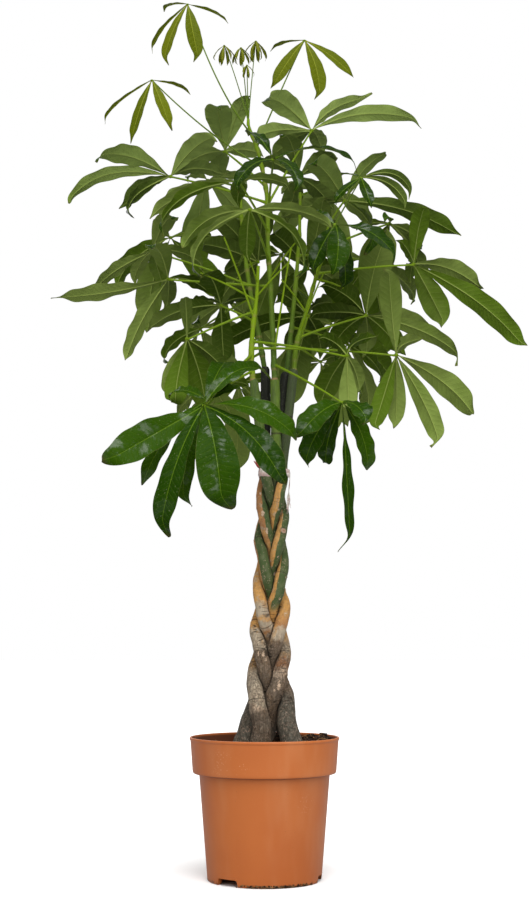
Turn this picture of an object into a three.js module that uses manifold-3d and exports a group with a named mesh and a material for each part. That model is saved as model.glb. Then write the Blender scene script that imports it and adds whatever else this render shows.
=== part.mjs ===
// A potted money tree: five trunks braided together in a nursery pot, tied at the top of the braid,
// with the shoots that grew above the tie and their fronds. Millimetres, +Z up, front towards -Y.
// The origin is the middle of the pot's underside.
import * as THREE from "three";
import { mergeVertices } from "three/addons/utils/BufferGeometryUtils.js";
import Module from "manifold-3d";

const wasm = await Module();
wasm.setup();

const GAP = 0.3; // between pieces that touch

// Pot
const POT = {
  height: 195,
  rimRadius: 105,
  lipHeight: 3.5,
  lipOverhang: 1.2,
  collarHeight: 48,
  collarFootRadius: 100.6,
  shoulderRadius: 91.4,
  baseRadius: 79.2,
  wall: 2.0,
  rimWidth: 2.8,
  floorHeight: 10.5,
  floorThickness: 2.4,
  footRingWidth: 7,
  centreFootRadius: 20,
  sides: 32,
  notchWidth: 37,
  notchTopWidth: 31,
  notchHeight: 9.5,
  notchAngles: [-40, 79, 199], // degrees round from the front
};

// Soil
const SOIL = { top: 180, mound: 4, bumps: 2.2, sides: 18, rootDepth: 60 };

// Braided trunks: a flat plait of five whose strands run outwards as they rise in front
const TRUNK = {
  radii: [[120, 13.5], [180, 15], [205, 13.4], [240, 11.4], [300, 9.4], [430, 7.9], [566, 7.1], [600, 6.9]],
  cycle: 319, // height in which a strand comes back to its place in the plait
  turnAtTie: 18, // degrees
  halfWidth: [8, 13], // at the tie and at the soil
  depthShare: 1.8, // of the half width
  straightBelow: 218, // the height where the plait starts: the feet run straight down from there
  lean: [[120, 3], [180, 3], [240, 6], [300, 7.5], [430, 9.5], [566, 11.5]], // of the plait's middle towards +X
  splay: [2.1, 0.25], // how far the feet stand out at the soil, sideways and in depth, as a share
  splayHeight: 120,
  strandOfTop: [3, 4, 0, 2, 1], // which strand of the plait each trunk in TOPS is
  air: 0.8, // between trunks at one height
  sides: 7,
  levels: 22,
  passes: 400, // in which the strands find their places
  settling: 200, // passes after those, which only push them apart
};
const TIE = { height: 14, middle: 566, air: 0.4, thickness: 1.5, sides: 16 };
const TIE_TAIL = { top: 568, foot: 526, forward: 4, out: 3.5, width: 5.5, thickness: 1.2 };

// Where each trunk ends above the tie, from the left to the right, and how thick it is there
const TOPS = [
  { at: [-16, -14, 700], radius: 6.2 },
  { at: [1, 7, 722], radius: 6.4 },
  { at: [15, -13, 700], radius: 6.6 },
  { at: [31, 8, 714], radius: 6.4 },
  { at: [42, -8, 716], radius: 6.0 },
];

// Shoots: the trunk each grew from, its route, and its radius at the foot and at the end
const SHOOTS = {
  green: {
    trunk: 0,
    route: [[-16, -14, 690], [-19, -16, 735], [-16, -14, 780], [-11, -10, 825], [-9, -6, 868]],
    radius: [5.0, 3.2],
  },
  leader: {
    trunk: 2,
    route: [
      [15, -13, 690], [13, -10, 745], [9, -6, 830], [5, 0, 900], [4, 4, 970], [-6, 6, 1030], [-24, 8, 1085],
    ],
    radius: [5.6, 2.6],
  },
  right: {
    trunk: 4,
    route: [[42, -8, 704], [46, -8, 750], [60, -4, 800], [74, 0, 850], [88, 2, 905]],
    radius: [4.8, 2.8],
  },
  backLeft: {
    trunk: 1,
    route: [[2, 6, 708], [-8, 22, 770], [-24, 42, 860], [-34, 56, 950], [-36, 62, 1010]],
    radius: [5.0, 2.8],
  },
  backRight: {
    trunk: 3,
    route: [[31, 8, 700], [38, 26, 770], [46, 48, 850], [52, 62, 930], [54, 70, 1000]],
    radius: [5.0, 2.8],
  },
};
const SHOOT = { sides: 6, steps: 9 };

// Leaves
const LEAF = {
  thickness: 0.7,
  widthShare: 0.28, // of a leaflet's length
  rise: 0.28, // how far the midrib arches, as a share of the length
  youngRise: 0.12,
  highest: 0.55, // where along the midrib the arch is highest
  fold: 0.16, // how far the edges stand up from the midrib, as a share of the half width
  wave: 0.05, // how far the edges wave, as a share of the width
  baseExponent: 1.15,
  tipExponent: 0.8,
  longStations: [0.17, 0.41, 0.66, 0.87],
  shortStations: [0.25, 0.58, 0.86],
  tinyStations: [0.36, 0.74],
  longFrom: 150, // a leaflet this long has four stations, and a short one two
  tinyTo: 84,
};
const PETIOLE = { footRadius: 2.3, hubRadius: 1.5, sides: 4, steps: 4, rise: 0.03 };
const HUB = { radius: 3.4, halfThickness: 0.9, leastAngle: 24 };

// Room kept round a leaflet, and how it may be turned aside or lifted to keep clear, in degrees
const CLEAR = { room: 1.5, fromHub: 0.13, hub: 8 };
const TURNS = [
  [0, 0], [0, 7], [0, -7], [6, 0], [-6, 0], [6, 7], [-6, 7], [6, -7], [-6, -7],
  [0, 14], [0, -14], [13, 0], [-13, 0], [13, 10], [-13, 10], [13, -10], [-13, -10],
  [0, 22], [0, -22], [20, 12], [-20, 12], [20, -12], [-20, -12], [0, 30], [0, -30],
];

// Fronds read off the front view: the shoot each grows from and how high, where its leaflets meet,
// which way its upper side faces (degrees round from the front, degrees up), and the leaflets'
// tips from there, each with its width and arch where they aren't the usual ones.
const FRONDS = [
  { name: "young_top", stem: "leader", at: 1070, hub: [-115, 10, 1272], faces: [0, 75], young: true, rise: -0.25,
    tips: [[-42, 55, 16, 15], [-58, 25, -65, 17], [-34, -15, -99, 19], [18, -20, -96, 22],
      [60, 40, -10, 16]] },
  { name: "young_left", stem: "leader", at: 1020, hub: [-165, -20, 1143], faces: [0, 75], young: true, rise: -0.09,
    tips: [[-76, 25, -54, 16], [-28, -15, -99, 18], [29, -20, -81, 21], [54, 40, -4, 15]] },
  { name: "young_right", stem: "leader", at: 1050, hub: [60, 30, 1224], faces: [0, 75], young: true,
    tips: [[-50, 50, 6, 14], [-48, -10, -78, 19], [22, -20, -98, 24], [74, 10, -54, 17]] },
  { name: "left_high", stem: "leader", at: 965, hub: [-140, 30, 1013], faces: [180, 52],
    tips: [[-108, -45, 16, 37, 0.45], [-155, -20, -53, 26, 0.6], [-80, 75, -29, 26], [70, -65, 40, 34],
      [-55, -60, -78, 26, 0.4], [80, 60, 20, 28]] },
  { name: "top_middle", stem: "leader", at: 990, hub: [-60, 60, 1061], faces: [180, 40],
    tips: [[0, -96, 50, 40], [36, -64, 62, 27], [-68, 60, -5, 32], [60, 40, 8, 27], [-18, 90, -30, 28]] },
  { name: "right_high", stem: "leader", at: 962, hub: [70, 20, 1080], faces: [178, 45],
    tips: [[-70, -92, 18, 42], [-96, -40, -26, 25, 0.35], [-62, 62, -24, 28], [172, 10, 16, 27, 0.6],
      [93, 66, 76, 24], [20, 80, -12, 26]] },
  { name: "front_high", stem: "leader", at: 948, hub: [12, -110, 994], faces: [20, 60],
    tips: [[122, -20, -18, 24, 0.35], [-54, -56, -60, 24], [36, -70, -66, 26], [-40, 45, 55, 24]] },
  { name: "small_right", stem: "right", at: 903, hub: [141, -10, 999], faces: [20, 60], young: true,
    tips: [[78, 25, -22, 14, 0.5], [66, -20, -52, 16, 0.4], [11, -40, -54, 19], [-42, -20, -43, 14],
      [-30, 50, 19, 14]] },
  { name: "front_middle", stem: "leader", at: 922, hub: [-35, -130, 957], faces: [180, 68],
    tips: [[-110, -30, -80, 27, 0.4], [-128, 40, -42, 27, 0.3], [32, -52, 19, 24], [74, 40, 4, 24],
      [-5, 85, -10, 24]] },
  { name: "front_broad", stem: "leader", at: 878, hub: [-20, -160, 908], faces: [180, 68],
    tips: [[-94, 24, -50, 32, 0.46], [-72, -50, -109, 28, 0.4], [115, 20, -18, 26, 0.3],
      [70, -46, -107, 30, 0.4], [14, 70, -44, 24]] },
  { name: "right_shaded", stem: "right", at: 880, hub: [120, 50, 982], faces: [175, 55],
    tips: [[-32, -98, 52, 42], [64, -60, 56, 22, 0.35], [178, 16, -54, 36, 0.26], [30, -84, -99, 32],
      [-100, 30, 10, 26]] },
  { name: "right_hanging", stem: "right", at: 838, hub: [100, -70, 912], faces: [15, 40],
    tips: [[-4, -50, -86, 33], [86, -40, -62, 32], [14, 26, -88, 28], [-36, -26, -76, 26],
      [-50, 44, 26, 24]] },
  { name: "left_low", stem: "leader", at: 838, hub: [-140, 0, 850], faces: [180, 62],
    tips: [[-168, 5, -26, 30, -0.06], [-60, -20, -128, 28, 0.08], [-20, -90, 28, 34], [-7, 85, -26, 24],
      [60, 66, -8, 26]] },
  { name: "left_hidden", stem: "backLeft", at: 850, hub: [-168, 60, 907], faces: [180, 60],
    tips: [[-92, -20, -72, 27, 0.12], [-36, 70, -35, 22], [38, -80, 33, 32], [78, 50, -12, 28],
      [12, 95, -40, 26]] },
  { name: "left_inner", stem: "green", at: 785, hub: [-64, 30, 818], faces: [180, 55],
    tips: [[-109, 15, -34, 32], [-46, 80, 18, 24], [4, 34, -84, 28], [-22, -76, 38, 34], [56, 50, 18, 26]] },
  { name: "left_drooping", stem: "green", at: 800, hub: [-110, -40, 754], faces: [180, 35],
    tips: [[0, -60, 50, 18], [-12, -50, -106, 33], [-30, 0, -84, 24], [26, 34, -102, 42],
      [57, 34, -44, 28]] },
  { name: "front_low", stem: "green", at: 735, hub: [-80, -170, 639], faces: [-5, 48],
    tips: [[-122, -60, -81, 43, -0.05], [-54, -54, -178, 30], [27, -72, -146, 50], [106, -50, -112, 34, 0.28],
      [125, -20, -49, 36, 0.33], [85, 66, 56, 32, 0.4], [28, 92, 74, 28]] },
  { name: "front_low_behind", stem: "green", at: 712, hub: [-78, -118, 654], faces: [-10, 50],
    tips: [[-84, -40, -122, 26], [-30, -14, -148, 28], [52, 56, 10, 26], [-52, 46, 8, 24],
      [40, 62, 48, 26]] },
  { name: "right_middle", stem: "right", at: 858, hub: [219, 20, 877], faces: [175, 40],
    tips: [[11, -64, 72, 28], [108, 20, -38, 32, 0.7], [164, -10, -134, 36, 0.33], [48, 24, -92, 40],
      [-18, 40, 50, 22], [2, 88, -6, 20]] },
  { name: "right_inner", stem: "right", at: 762, hub: [150, 40, 805], faces: [180, 40],
    tips: [[34, -62, 114, 45], [111, 40, -28, 32, 0.4], [-68, 20, 54, 34], [-85, 44, 10, 28],
      [-50, 56, -42, 30], [5, 78, -49, 28], [60, 66, -42, 30], [142, -20, -72, 24, 0.5]] },
  { name: "right_low", stem: "green", at: 745, hub: [186, -50, 729], faces: [178, 35],
    tips: [[110, -10, -94, 36, 0.6], [58, -20, -134, 30, 0.45], [-14, -62, 114, 32], [44, 66, 36, 26],
      [0, 24, -104, 27], [-35, -14, -110, 28]] },
  { name: "right_low_behind", stem: "green", at: 755, hub: [114, -88, 721], faces: [180, 45],
    tips: [[0, -26, -84, 26], [21, 42, -44, 22], [-38, 30, 34, 24], [-37, 72, -66, 36],
      [44, 60, 38, 24]] },
  { name: "front_right_low", stem: "leader", at: 722, hub: [106, -118, 651], faces: [10, 50],
    tips: [[-62, -56, -55, 34, 0.3], [-52, 10, -88, 28], [31, -52, -34, 28], [8, -30, -205, 20, 0.12],
      [22, 10, -98, 30], [-20, 50, -84, 24]] },
  { name: "middle_inner", stem: "right", at: 735, hub: [65, 60, 808], faces: [180, 45],
    tips: [[72, 60, 0, 26], [-135, 24, -42, 30], [24, 54, -66, 26], [-32, 70, -44, 26],
      [14, 20, -147, 42], [-34, -30, 38, 26]] },
  { name: "inner_left", stem: "backLeft", at: 880, hub: [-10, 90, 898], faces: [185, 45],
    tips: [[-86, -50, 14, 34], [-74, 50, -52, 34], [-46, -72, 56, 32], [8, -76, 66, 32], [-26, 74, -74, 30]] },
  { name: "inner_right", stem: "backRight", at: 870, hub: [66, 102, 890], faces: [175, 45],
    tips: [[-50, -72, 52, 32], [-22, -90, 80, 30], [42, -60, 52, 30], [56, 44, -20, 30], [-46, 52, -44, 28]] },
  { name: "inner_high", stem: "leader", at: 1000, hub: [51, 62, 1022], faces: [170, 50],
    tips: [[-58, -48, 12, 28], [-20, 66, -52, 28], [48, 52, -42, 28], [54, -58, 18, 28], [-22, -82, 40, 28]] },
];

// Fronds on the sides that the front view hides: count of leaflets, the middle one's length,
// and which way the middle one points round from the front
const HIDDEN_FRONDS = [
  { name: "back_1", stem: "backLeft", at: 1005, hub: [-90, 170, 1050], faces: [205, 55],
    leaflets: 5, reach: 125 },
  { name: "back_2", stem: "backRight", at: 995, hub: [90, 165, 1035], faces: [150, 55],
    leaflets: 5, reach: 125 },
  { name: "back_3", stem: "backLeft", at: 960, hub: [-150, 200, 965], faces: [215, 45],
    leaflets: 5, reach: 135 },
  { name: "back_4", stem: "backRight", at: 935, hub: [26, 150, 925], faces: [180, 45],
    leaflets: 6, reach: 112 },
  { name: "back_5", stem: "backRight", at: 900, hub: [165, 190, 925], faces: [140, 45],
    leaflets: 5, reach: 135 },
  { name: "back_6", stem: "backLeft", at: 905, hub: [-60, 235, 870], faces: [195, 40],
    leaflets: 5, reach: 118 },
  { name: "back_7", stem: "backRight", at: 850, hub: [110, 235, 830], faces: [160, 40],
    leaflets: 5, reach: 140 },
  { name: "back_8", stem: "backLeft", at: 830, hub: [-100, 165, 810], faces: [225, 40],
    leaflets: 5, reach: 115 },
  { name: "back_9", stem: "backRight", at: 785, hub: [128, 146, 782], faces: [125, 40],
    leaflets: 5, reach: 110 },
  { name: "back_10", stem: "backLeft", at: 775, hub: [-40, 205, 730], faces: [190, 40],
    leaflets: 5, reach: 125 },
  { name: "back_11", stem: "backLeft", at: 745, hub: [-80, 115, 715], faces: [220, 45],
    leaflets: 5, reach: 105 },
  { name: "back_12", stem: "backRight", at: 760, hub: [86, 132, 752], faces: [160, 45],
    leaflets: 5, reach: 95 },
  { name: "side_1", stem: "right", at: 895, hub: [188, 60, 950], faces: [120, 50],
    leaflets: 5, reach: 92 },
];
const STAR = { spread: 265, shortest: 0.55, droop: 24, sag: 0.22 };

// Opening fronds round the growing tip: hub, count and length of the leaflets
const TIP = { from: [-24, 8, 1086], stem: 7, petioleRadius: 0.9, leafletWidth: 5.5, droop: 58 };
const TIP_FRONDS = [
  { hub: [-60, 8, 1207], leaflets: 4, reach: 30 },
  { hub: [-35, 2, 1201], leaflets: 4, reach: 27 },
  { hub: [-13, 16, 1217], leaflets: 4, reach: 32 },
  { hub: [-26, -14, 1168], leaflets: 4, reach: 22 },
];

const COLOURS = {
  pot: { color: 0xb9653a, roughness: 0.5, metalness: 0 },
  soil: { color: 0x2a2019, roughness: 1, metalness: 0 },
  trunk: { color: 0x6f6446, roughness: 0.85, metalness: 0 },
  tie: { color: 0xd9cdc4, roughness: 0.9, metalness: 0 },
  leaf: { color: 0x3f5f28, roughness: 0.5, metalness: 0 },
  youngLeaf: { color: 0x71881f, roughness: 0.5, metalness: 0 },
};

const UP = new THREE.Vector3(0, 0, 1);
const radians = THREE.MathUtils.degToRad;
const vector = ([x, y, z]) => new THREE.Vector3(x, y, z);
const mix = THREE.MathUtils.lerp;

// Seeded draw, so that each run builds the same plant
function seeded(seed) {
  let state = seed;
  return () => {
    state = (state * 1664525 + 1013904223) % 4294967296;
    return state / 4294967296;
  };
}

// A closed geometry as a solid that can be joined and cut, and back
function solidOf(geometry) {
  const bare = geometry.clone();
  for (const name of Object.keys(bare.attributes)) {
    if (name !== "position") bare.deleteAttribute(name);
  }
  const merged = mergeVertices(bare, 1e-4);
  const mesh = new wasm.Mesh({
    numProp: 3,
    vertProperties: new Float32Array(merged.attributes.position.array),
    triVerts: new Uint32Array(merged.index.array),
  });
  return new wasm.Manifold(mesh);
}

function geometryOf(solid) {
  const { vertProperties, triVerts } = solid.getMesh();
  const geometry = new THREE.BufferGeometry();
  geometry.setAttribute("position", new THREE.BufferAttribute(vertProperties, 3));
  geometry.setIndex(new THREE.BufferAttribute(triVerts, 1));
  return geometry;
}

function geometryFrom(points, triangles) {
  const geometry = new THREE.BufferGeometry();
  const numbers = points.flatMap((p) => [p.x, p.y, p.z]);
  geometry.setAttribute("position", new THREE.Float32BufferAttribute(numbers, 3));
  geometry.setIndex(triangles.flat());
  return geometry;
}

// Rings of points joined into a tube with flat ends
function loft(rings) {
  const sides = rings[0].length;
  const triangles = [];
  for (let k = 0; k < rings.length - 1; k += 1) {
    for (let i = 0; i < sides; i += 1) {
      const a = k * sides + i;
      const b = k * sides + ((i + 1) % sides);
      triangles.push([a, b, b + sides], [a, b + sides, a + sides]);
    }
  }
  const last = (rings.length - 1) * sides;
  for (let i = 1; i < sides - 1; i += 1) {
    triangles.push([0, i + 1, i], [last, last + i, last + i + 1]);
  }
  return geometryFrom(rings.flat(), triangles);
}

// A round stem along a curve, its radius given along the way
function stem(curve, radiusAt, sides, steps) {
  const frames = curve.computeFrenetFrames(steps, false);
  const rings = [];
  for (let k = 0; k <= steps; k += 1) {
    const centre = curve.getPointAt(k / steps);
    const ring = [];
    for (let i = 0; i < sides; i += 1) {
      const angle = (2 * Math.PI * i) / sides;
      const radius = radiusAt(k / steps);
      ring.push(
        centre
          .clone()
          .addScaledVector(frames.normals[k], Math.cos(angle) * radius)
          .addScaledVector(frames.binormals[k], Math.sin(angle) * radius),
      );
    }
    rings.push(ring);
  }
  return loft(rings);
}

// Straight-line reading of a list of [place, value] pairs
function readOff(pairs, place) {
  for (let i = 1; i < pairs.length; i += 1) {
    if (place <= pairs[i][0]) {
      const share = (place - pairs[i - 1][0]) / (pairs[i][0] - pairs[i - 1][0]);
      return mix(pairs[i - 1][1], pairs[i][1], Math.max(share, 0));
    }
  }
  return pairs[pairs.length - 1][1];
}

// Pot: wall and floor turned as one profile, then the drainage notches cut through the foot
function potGeometry() {
  const floorTop = POT.floorHeight + POT.floorThickness;
  const collarFoot = POT.height - POT.collarHeight;
  const bodyRadius = (z) => mix(POT.baseRadius, POT.shoulderRadius, z / (collarFoot - 4));
  const profile = [
    [0, 0],
    [POT.centreFootRadius, 0],
    [POT.centreFootRadius, POT.floorHeight],
    [POT.baseRadius - POT.footRingWidth, POT.floorHeight],
    [POT.baseRadius - POT.footRingWidth, 0],
    [POT.baseRadius, 0],
    [POT.shoulderRadius, collarFoot - 4],
    [POT.collarFootRadius, collarFoot],
    [POT.rimRadius - POT.lipOverhang, POT.height - POT.lipHeight - 1],
    [POT.rimRadius, POT.height - POT.lipHeight],
    [POT.rimRadius, POT.height],
    [POT.rimRadius - POT.rimWidth, POT.height],
    [POT.collarFootRadius - POT.wall, collarFoot + 3],
    [POT.shoulderRadius - POT.wall, collarFoot - 2],
    [bodyRadius(floorTop) - POT.wall, floorTop],
    [0, floorTop],
  ].map(([r, z]) => new THREE.Vector2(r, z));
  let solid = solidOf(new THREE.LatheGeometry(profile, POT.sides).rotateX(Math.PI / 2));
  for (const angle of POT.notchAngles) {
    const outline = new THREE.Shape([
      new THREE.Vector2(-POT.notchWidth / 2, -1),
      new THREE.Vector2(POT.notchWidth / 2, -1),
      new THREE.Vector2(POT.notchTopWidth / 2, POT.notchHeight),
      new THREE.Vector2(-POT.notchTopWidth / 2, POT.notchHeight),
    ]);
    const depth = POT.footRingWidth + 8;
    const cutter = new THREE.ExtrudeGeometry(outline, { depth, bevelEnabled: false });
    cutter.rotateX(Math.PI / 2).translate(0, -(POT.baseRadius - POT.footRingWidth - 3), 0);
    cutter.rotateZ(radians(angle));
    solid = solid.subtract(solidOf(cutter));
  }
  return geometryOf(solid);
}

// Plait: each strand's place at each height, kept clear of the others
function plaitLevels() {
  const top = TIE.middle + TIE.height / 2 + 3;
  const levels = [];
  for (let i = 0; i <= TRUNK.levels; i += 1) {
    const z = mix(SOIL.top, top, i / TRUNK.levels);
    const low = THREE.MathUtils.clamp((SOIL.top + TRUNK.splayHeight - z) / TRUNK.splayHeight, 0, 1);
    const [atTie, atSoil] = TRUNK.halfWidth;
    const width = mix(atSoil, atTie, i / TRUNK.levels);
    const [wider, deeper] = TRUNK.splay.map((share) => 1 + share * low ** 1.6);
    const middle = readOff(TRUNK.lean, z);
    const risen = Math.max(z, TRUNK.straightBelow) - TIE.middle;
    const homes = TOPS.map((_, k) => {
      const turn = radians(TRUNK.turnAtTie + (360 * risen) / TRUNK.cycle + 72 * k);
      const x = middle + width * wider * Math.sin(turn);
      return new THREE.Vector2(x, -width * deeper * TRUNK.depthShare * Math.sin(2 * turn));
    });
    levels.push({ z, radius: readOff(TRUNK.radii, z), homes, places: homes.map((home) => home.clone()) });
  }
  const { passes, settling, air } = TRUNK;
  const pushApart = (near) => {
    const middleOf = (k) => {
      const sum = new THREE.Vector2();
      near.forEach(({ places }) => sum.add(places[k]));
      return sum.divideScalar(near.length);
    };
    const apart = near.reduce((sum, { radius }) => sum + 2 * radius, 0) / near.length + air;
    for (let a = 0; a < TOPS.length; a += 1) {
      for (let b = a + 1; b < TOPS.length; b += 1) {
        const between = middleOf(b).sub(middleOf(a));
        const short = apart - between.length();
        if (short > 0) {
          between.setLength(short / 2);
          near.forEach(({ places }) => {
            places[a].sub(between);
            places[b].add(between);
          });
        }
      }
    }
  };
  for (let pass = 0; pass < passes + settling; pass += 1) {
    levels.forEach(({ places, homes }, i) => {
      if (pass < passes) {
        places.forEach((place, k) => {
          place.lerp(homes[k], 0.03);
          if (i > 0 && i < levels.length - 1) {
            place.lerp(levels[i - 1].places[k].clone().lerp(levels[i + 1].places[k], 0.5), 0.03);
          }
        });
      }
      pushApart([levels[i]]);
      if (i > 0) pushApart([levels[i - 1], levels[i]]);
    });
  }
  return levels;
}

// Trunk: horizontal rings from its rooted foot, up the plait and on to its cut end
function trunkRings(levels, top, strand, grow, fromFoot, toTop) {
  const ring = (x, y, z, radius) => {
    const points = [];
    for (let i = 0; i < TRUNK.sides; i += 1) {
      const angle = (2 * Math.PI * (i + 0.5)) / TRUNK.sides;
      const reach = radius + grow;
      points.push(new THREE.Vector3(x + reach * Math.cos(angle), y + reach * Math.sin(angle), z));
    }
    return points;
  };
  const rings = [];
  if (fromFoot) {
    const foot = levels[0].places[strand];
    rings.push(ring(foot.x, foot.y, SOIL.top - SOIL.rootDepth - grow, TRUNK.radii[0][1]));
  }
  for (const level of levels) {
    rings.push(ring(level.places[strand].x, level.places[strand].y, level.z, level.radius));
  }
  if (toTop) {
    const last = levels[levels.length - 1];
    const start = new THREE.Vector3(last.places[strand].x, last.places[strand].y, last.z);
    for (const share of [0.33, 0.68, 1]) {
      const at = start.clone().lerp(vector(top.at), share);
      rings.push(ring(at.x, at.y, at.z, mix(last.radius, top.radius, share)));
    }
  }
  return rings;
}

// Soil: a filled pot's shape with a lumpy, slightly mounded top
function soilGeometry(levels) {
  const floorTop = POT.floorHeight + POT.floorThickness + GAP;
  const collarFoot = POT.height - POT.collarHeight;
  const inside = (r) => (r - POT.wall - GAP) * Math.cos(Math.PI / POT.sides) - 0.2;
  const up = (SOIL.top - collarFoot) / POT.collarHeight;
  const collarInside = mix(POT.collarFootRadius - POT.wall, POT.rimRadius - POT.rimWidth, up);
  const edge = collarInside * Math.cos(Math.PI / POT.sides) - 1.2;
  const foot = inside(mix(POT.baseRadius, POT.shoulderRadius, floorTop / collarFoot));
  const profile = [
    [0, floorTop],
    [foot, floorTop],
    [inside(POT.shoulderRadius), collarFoot - 6],
    [inside(POT.shoulderRadius), collarFoot + 4],
    [edge, SOIL.top - 1],
    [edge * 0.8, SOIL.top],
    [edge * 0.45, SOIL.top],
    [0, SOIL.top],
  ].map(([r, z]) => new THREE.Vector2(r, z));
  const geometry = new THREE.LatheGeometry(profile, SOIL.sides).rotateX(Math.PI / 2);
  const position = geometry.attributes.position;
  for (let i = 0; i < position.count; i += 1) {
    const x = position.getX(i);
    const y = position.getY(i);
    const out = Math.hypot(x, y) / edge;
    if (position.getZ(i) > SOIL.top - 0.5) {
      const lumps = Math.sin(x * 0.13 + 1.7) * Math.cos(y * 0.17 - 0.6) + 0.6 * Math.sin(x * 0.31 - y * 0.23);
      position.setZ(i, SOIL.top + SOIL.mound * (1 - out) + (SOIL.bumps * lumps) / 2);
    }
  }
  let solid = solidOf(geometry);
  TRUNK.strandOfTop.forEach((strand, k) => {
    const foot = trunkRings(levels, TOPS[k], strand, GAP, true, false).slice(0, 3);
    solid = solid.subtract(solidOf(loft(foot)));
  });
  return geometryOf(solid);
}

// Tie: a band drawn tight round the five trunks, with its loose end hanging on the right
function tieGeometry(levels) {
  const middle = readOff(TRUNK.lean, TIE.middle);
  const near = levels.filter((level) => Math.abs(level.z - TIE.middle) < TIE.height / 2 + 10);
  const reach = (angle) =>
    Math.max(
      ...near.flatMap((level) =>
        level.places.map((p) => {
          const out = (p.x - middle) * Math.cos(angle) + p.y * Math.sin(angle);
          return out + level.radius + TIE.air;
        }),
      ),
    );
  const outline = (z, grow) => {
    const points = [];
    for (let i = 0; i < TIE.sides; i += 1) {
      const angle = (2 * Math.PI * i) / TIE.sides;
      let radius = Infinity;
      for (let off = -80; off <= 80; off += 4) {
        radius = Math.min(radius, (reach(angle + radians(off)) + grow) / Math.cos(radians(off)));
      }
      points.push(new THREE.Vector3(middle + radius * Math.cos(angle), radius * Math.sin(angle), z));
    }
    return points;
  };
  const low = TIE.middle - TIE.height / 2;
  const high = TIE.middle + TIE.height / 2;
  const cornerRoom = 1 / Math.cos(Math.PI / TIE.sides); // so that the flats clear the trunks too
  const outer = loft([low, high].map((z) => outline(z, TIE.thickness + cornerRoom)));
  const inner = loft([low - 1, high + 1].map((z) => outline(z, cornerRoom)));
  const band = solidOf(outer).subtract(solidOf(inner));
  const [side] = outline(TIE_TAIL.top, cornerRoom + TIE.thickness / 2);
  const from = new THREE.Vector3(side.x, -TIE_TAIL.forward, TIE_TAIL.top);
  const to = new THREE.Vector3(side.x + TIE_TAIL.out, -TIE_TAIL.forward - 2, TIE_TAIL.foot);
  const tail = new THREE.BoxGeometry(TIE_TAIL.thickness, TIE_TAIL.width, from.distanceTo(to));
  tail.applyQuaternion(new THREE.Quaternion().setFromUnitVectors(UP, from.clone().sub(to).normalize()));
  tail.translate(...from.add(to).multiplyScalar(0.5).toArray());
  return geometryOf(band.add(solidOf(tail).subtract(solidOf(inner))));
}

const shootCurves = {};
for (const [name, shoot] of Object.entries(SHOOTS)) {
  shootCurves[name] = new THREE.CatmullRomCurve3(shoot.route.map(vector));
}

function shootSolid(name, grow) {
  const [foot, end] = SHOOTS[name].radius;
  return solidOf(stem(shootCurves[name], (t) => mix(foot, end, t) + grow, SHOOT.sides, SHOOT.steps));
}

// The point of a shoot at a height
function shootPoint(name, z) {
  let low = 0;
  let high = 1;
  for (let i = 0; i < 30; i += 1) {
    const middle = (low + high) / 2;
    if (shootCurves[name].getPoint(middle).z < z) low = middle;
    else high = middle;
  }
  return shootCurves[name].getPoint(low);
}

// The way a frond's upper side faces: degrees round from the front, degrees up
function facing([round, up]) {
  const level = Math.cos(radians(up));
  const turn = radians(round);
  return new THREE.Vector3(Math.sin(turn) * level, -Math.cos(turn) * level, Math.sin(radians(up)));
}

// Leaflet: an arched midrib from the hub to the tip, with the blade's upper side towards the facing
function leafletShape(hub, tip, face, rise) {
  const chord = tip.clone().sub(hub);
  const length = chord.length();
  chord.normalize();
  const upper = face.clone().addScaledVector(chord, -face.dot(chord)).normalize();
  const bend = hub.clone().lerp(tip, LEAF.highest).addScaledVector(upper, rise * length);
  const midrib = new THREE.QuadraticBezierCurve3(hub, bend, tip);
  return {
    length,
    at(s) {
      const along = midrib.getTangent(s);
      const normal = upper.clone().addScaledVector(along, -upper.dot(along)).normalize();
      return { point: midrib.getPoint(s), normal, across: along.clone().cross(normal) };
    },
  };
}

function halfWidth(s, width) {
  const widest = LEAF.baseExponent / (LEAF.baseExponent + LEAF.tipExponent);
  const share = (v) => v ** LEAF.baseExponent * (1 - v) ** LEAF.tipExponent;
  return (width / 2) * (share(s) / share(widest));
}

function stationsFor(length) {
  if (length >= LEAF.longFrom) return LEAF.longStations;
  return length > LEAF.tinyTo ? LEAF.shortStations : LEAF.tinyStations;
}

// Rows of points across a blade, each with its normal: left edge, midrib and right edge, then the tip
function bladeRows(shape, width, phase, stations, room) {
  const rows = stations.map((s) => {
    const { point, normal, across } = shape.at(s);
    const reach = halfWidth(s, width) + room;
    const edge = (side, turn) => {
      const lift = LEAF.fold * reach + LEAF.wave * width * Math.sin(9 * s + phase + turn);
      return point.clone().addScaledVector(across, side * reach).addScaledVector(normal, lift);
    };
    return [[edge(-1, 0), normal], [point, normal], [edge(1, 2), normal]];
  });
  const end = shape.at(1);
  rows.push([[end.point, end.normal]]);
  return rows;
}

function bladeFaces(index) {
  const faces = [];
  for (let k = 0; k < index.length - 2; k += 1) {
    const [left, middle, right] = index[k];
    const [nextLeft, nextMiddle, nextRight] = index[k + 1];
    faces.push([middle, right, nextRight], [middle, nextRight, nextMiddle]);
    faces.push([left, middle, nextMiddle], [left, nextMiddle, nextLeft]);
  }
  const [left, middle, right] = index[index.length - 2];
  const [tip] = index[index.length - 1];
  faces.push([middle, right, tip], [left, middle, tip]);
  return faces;
}

// A sheet with its upper and lower points, split into triangles alike on both faces
function thickSolid(upper, lower, faces, outlines) {
  const count = upper.length;
  const triangles = [...faces, ...faces.map(([a, b, c]) => [a + count, c + count, b + count])];
  for (const outline of outlines) {
    for (let i = 0; i < outline.length - 1; i += 1) {
      const [a, b] = [outline[i], outline[i + 1]];
      triangles.push([a + count, b + count, b], [a + count, b, a]);
    }
  }
  return solidOf(geometryFrom([...upper, ...lower], triangles));
}

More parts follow.
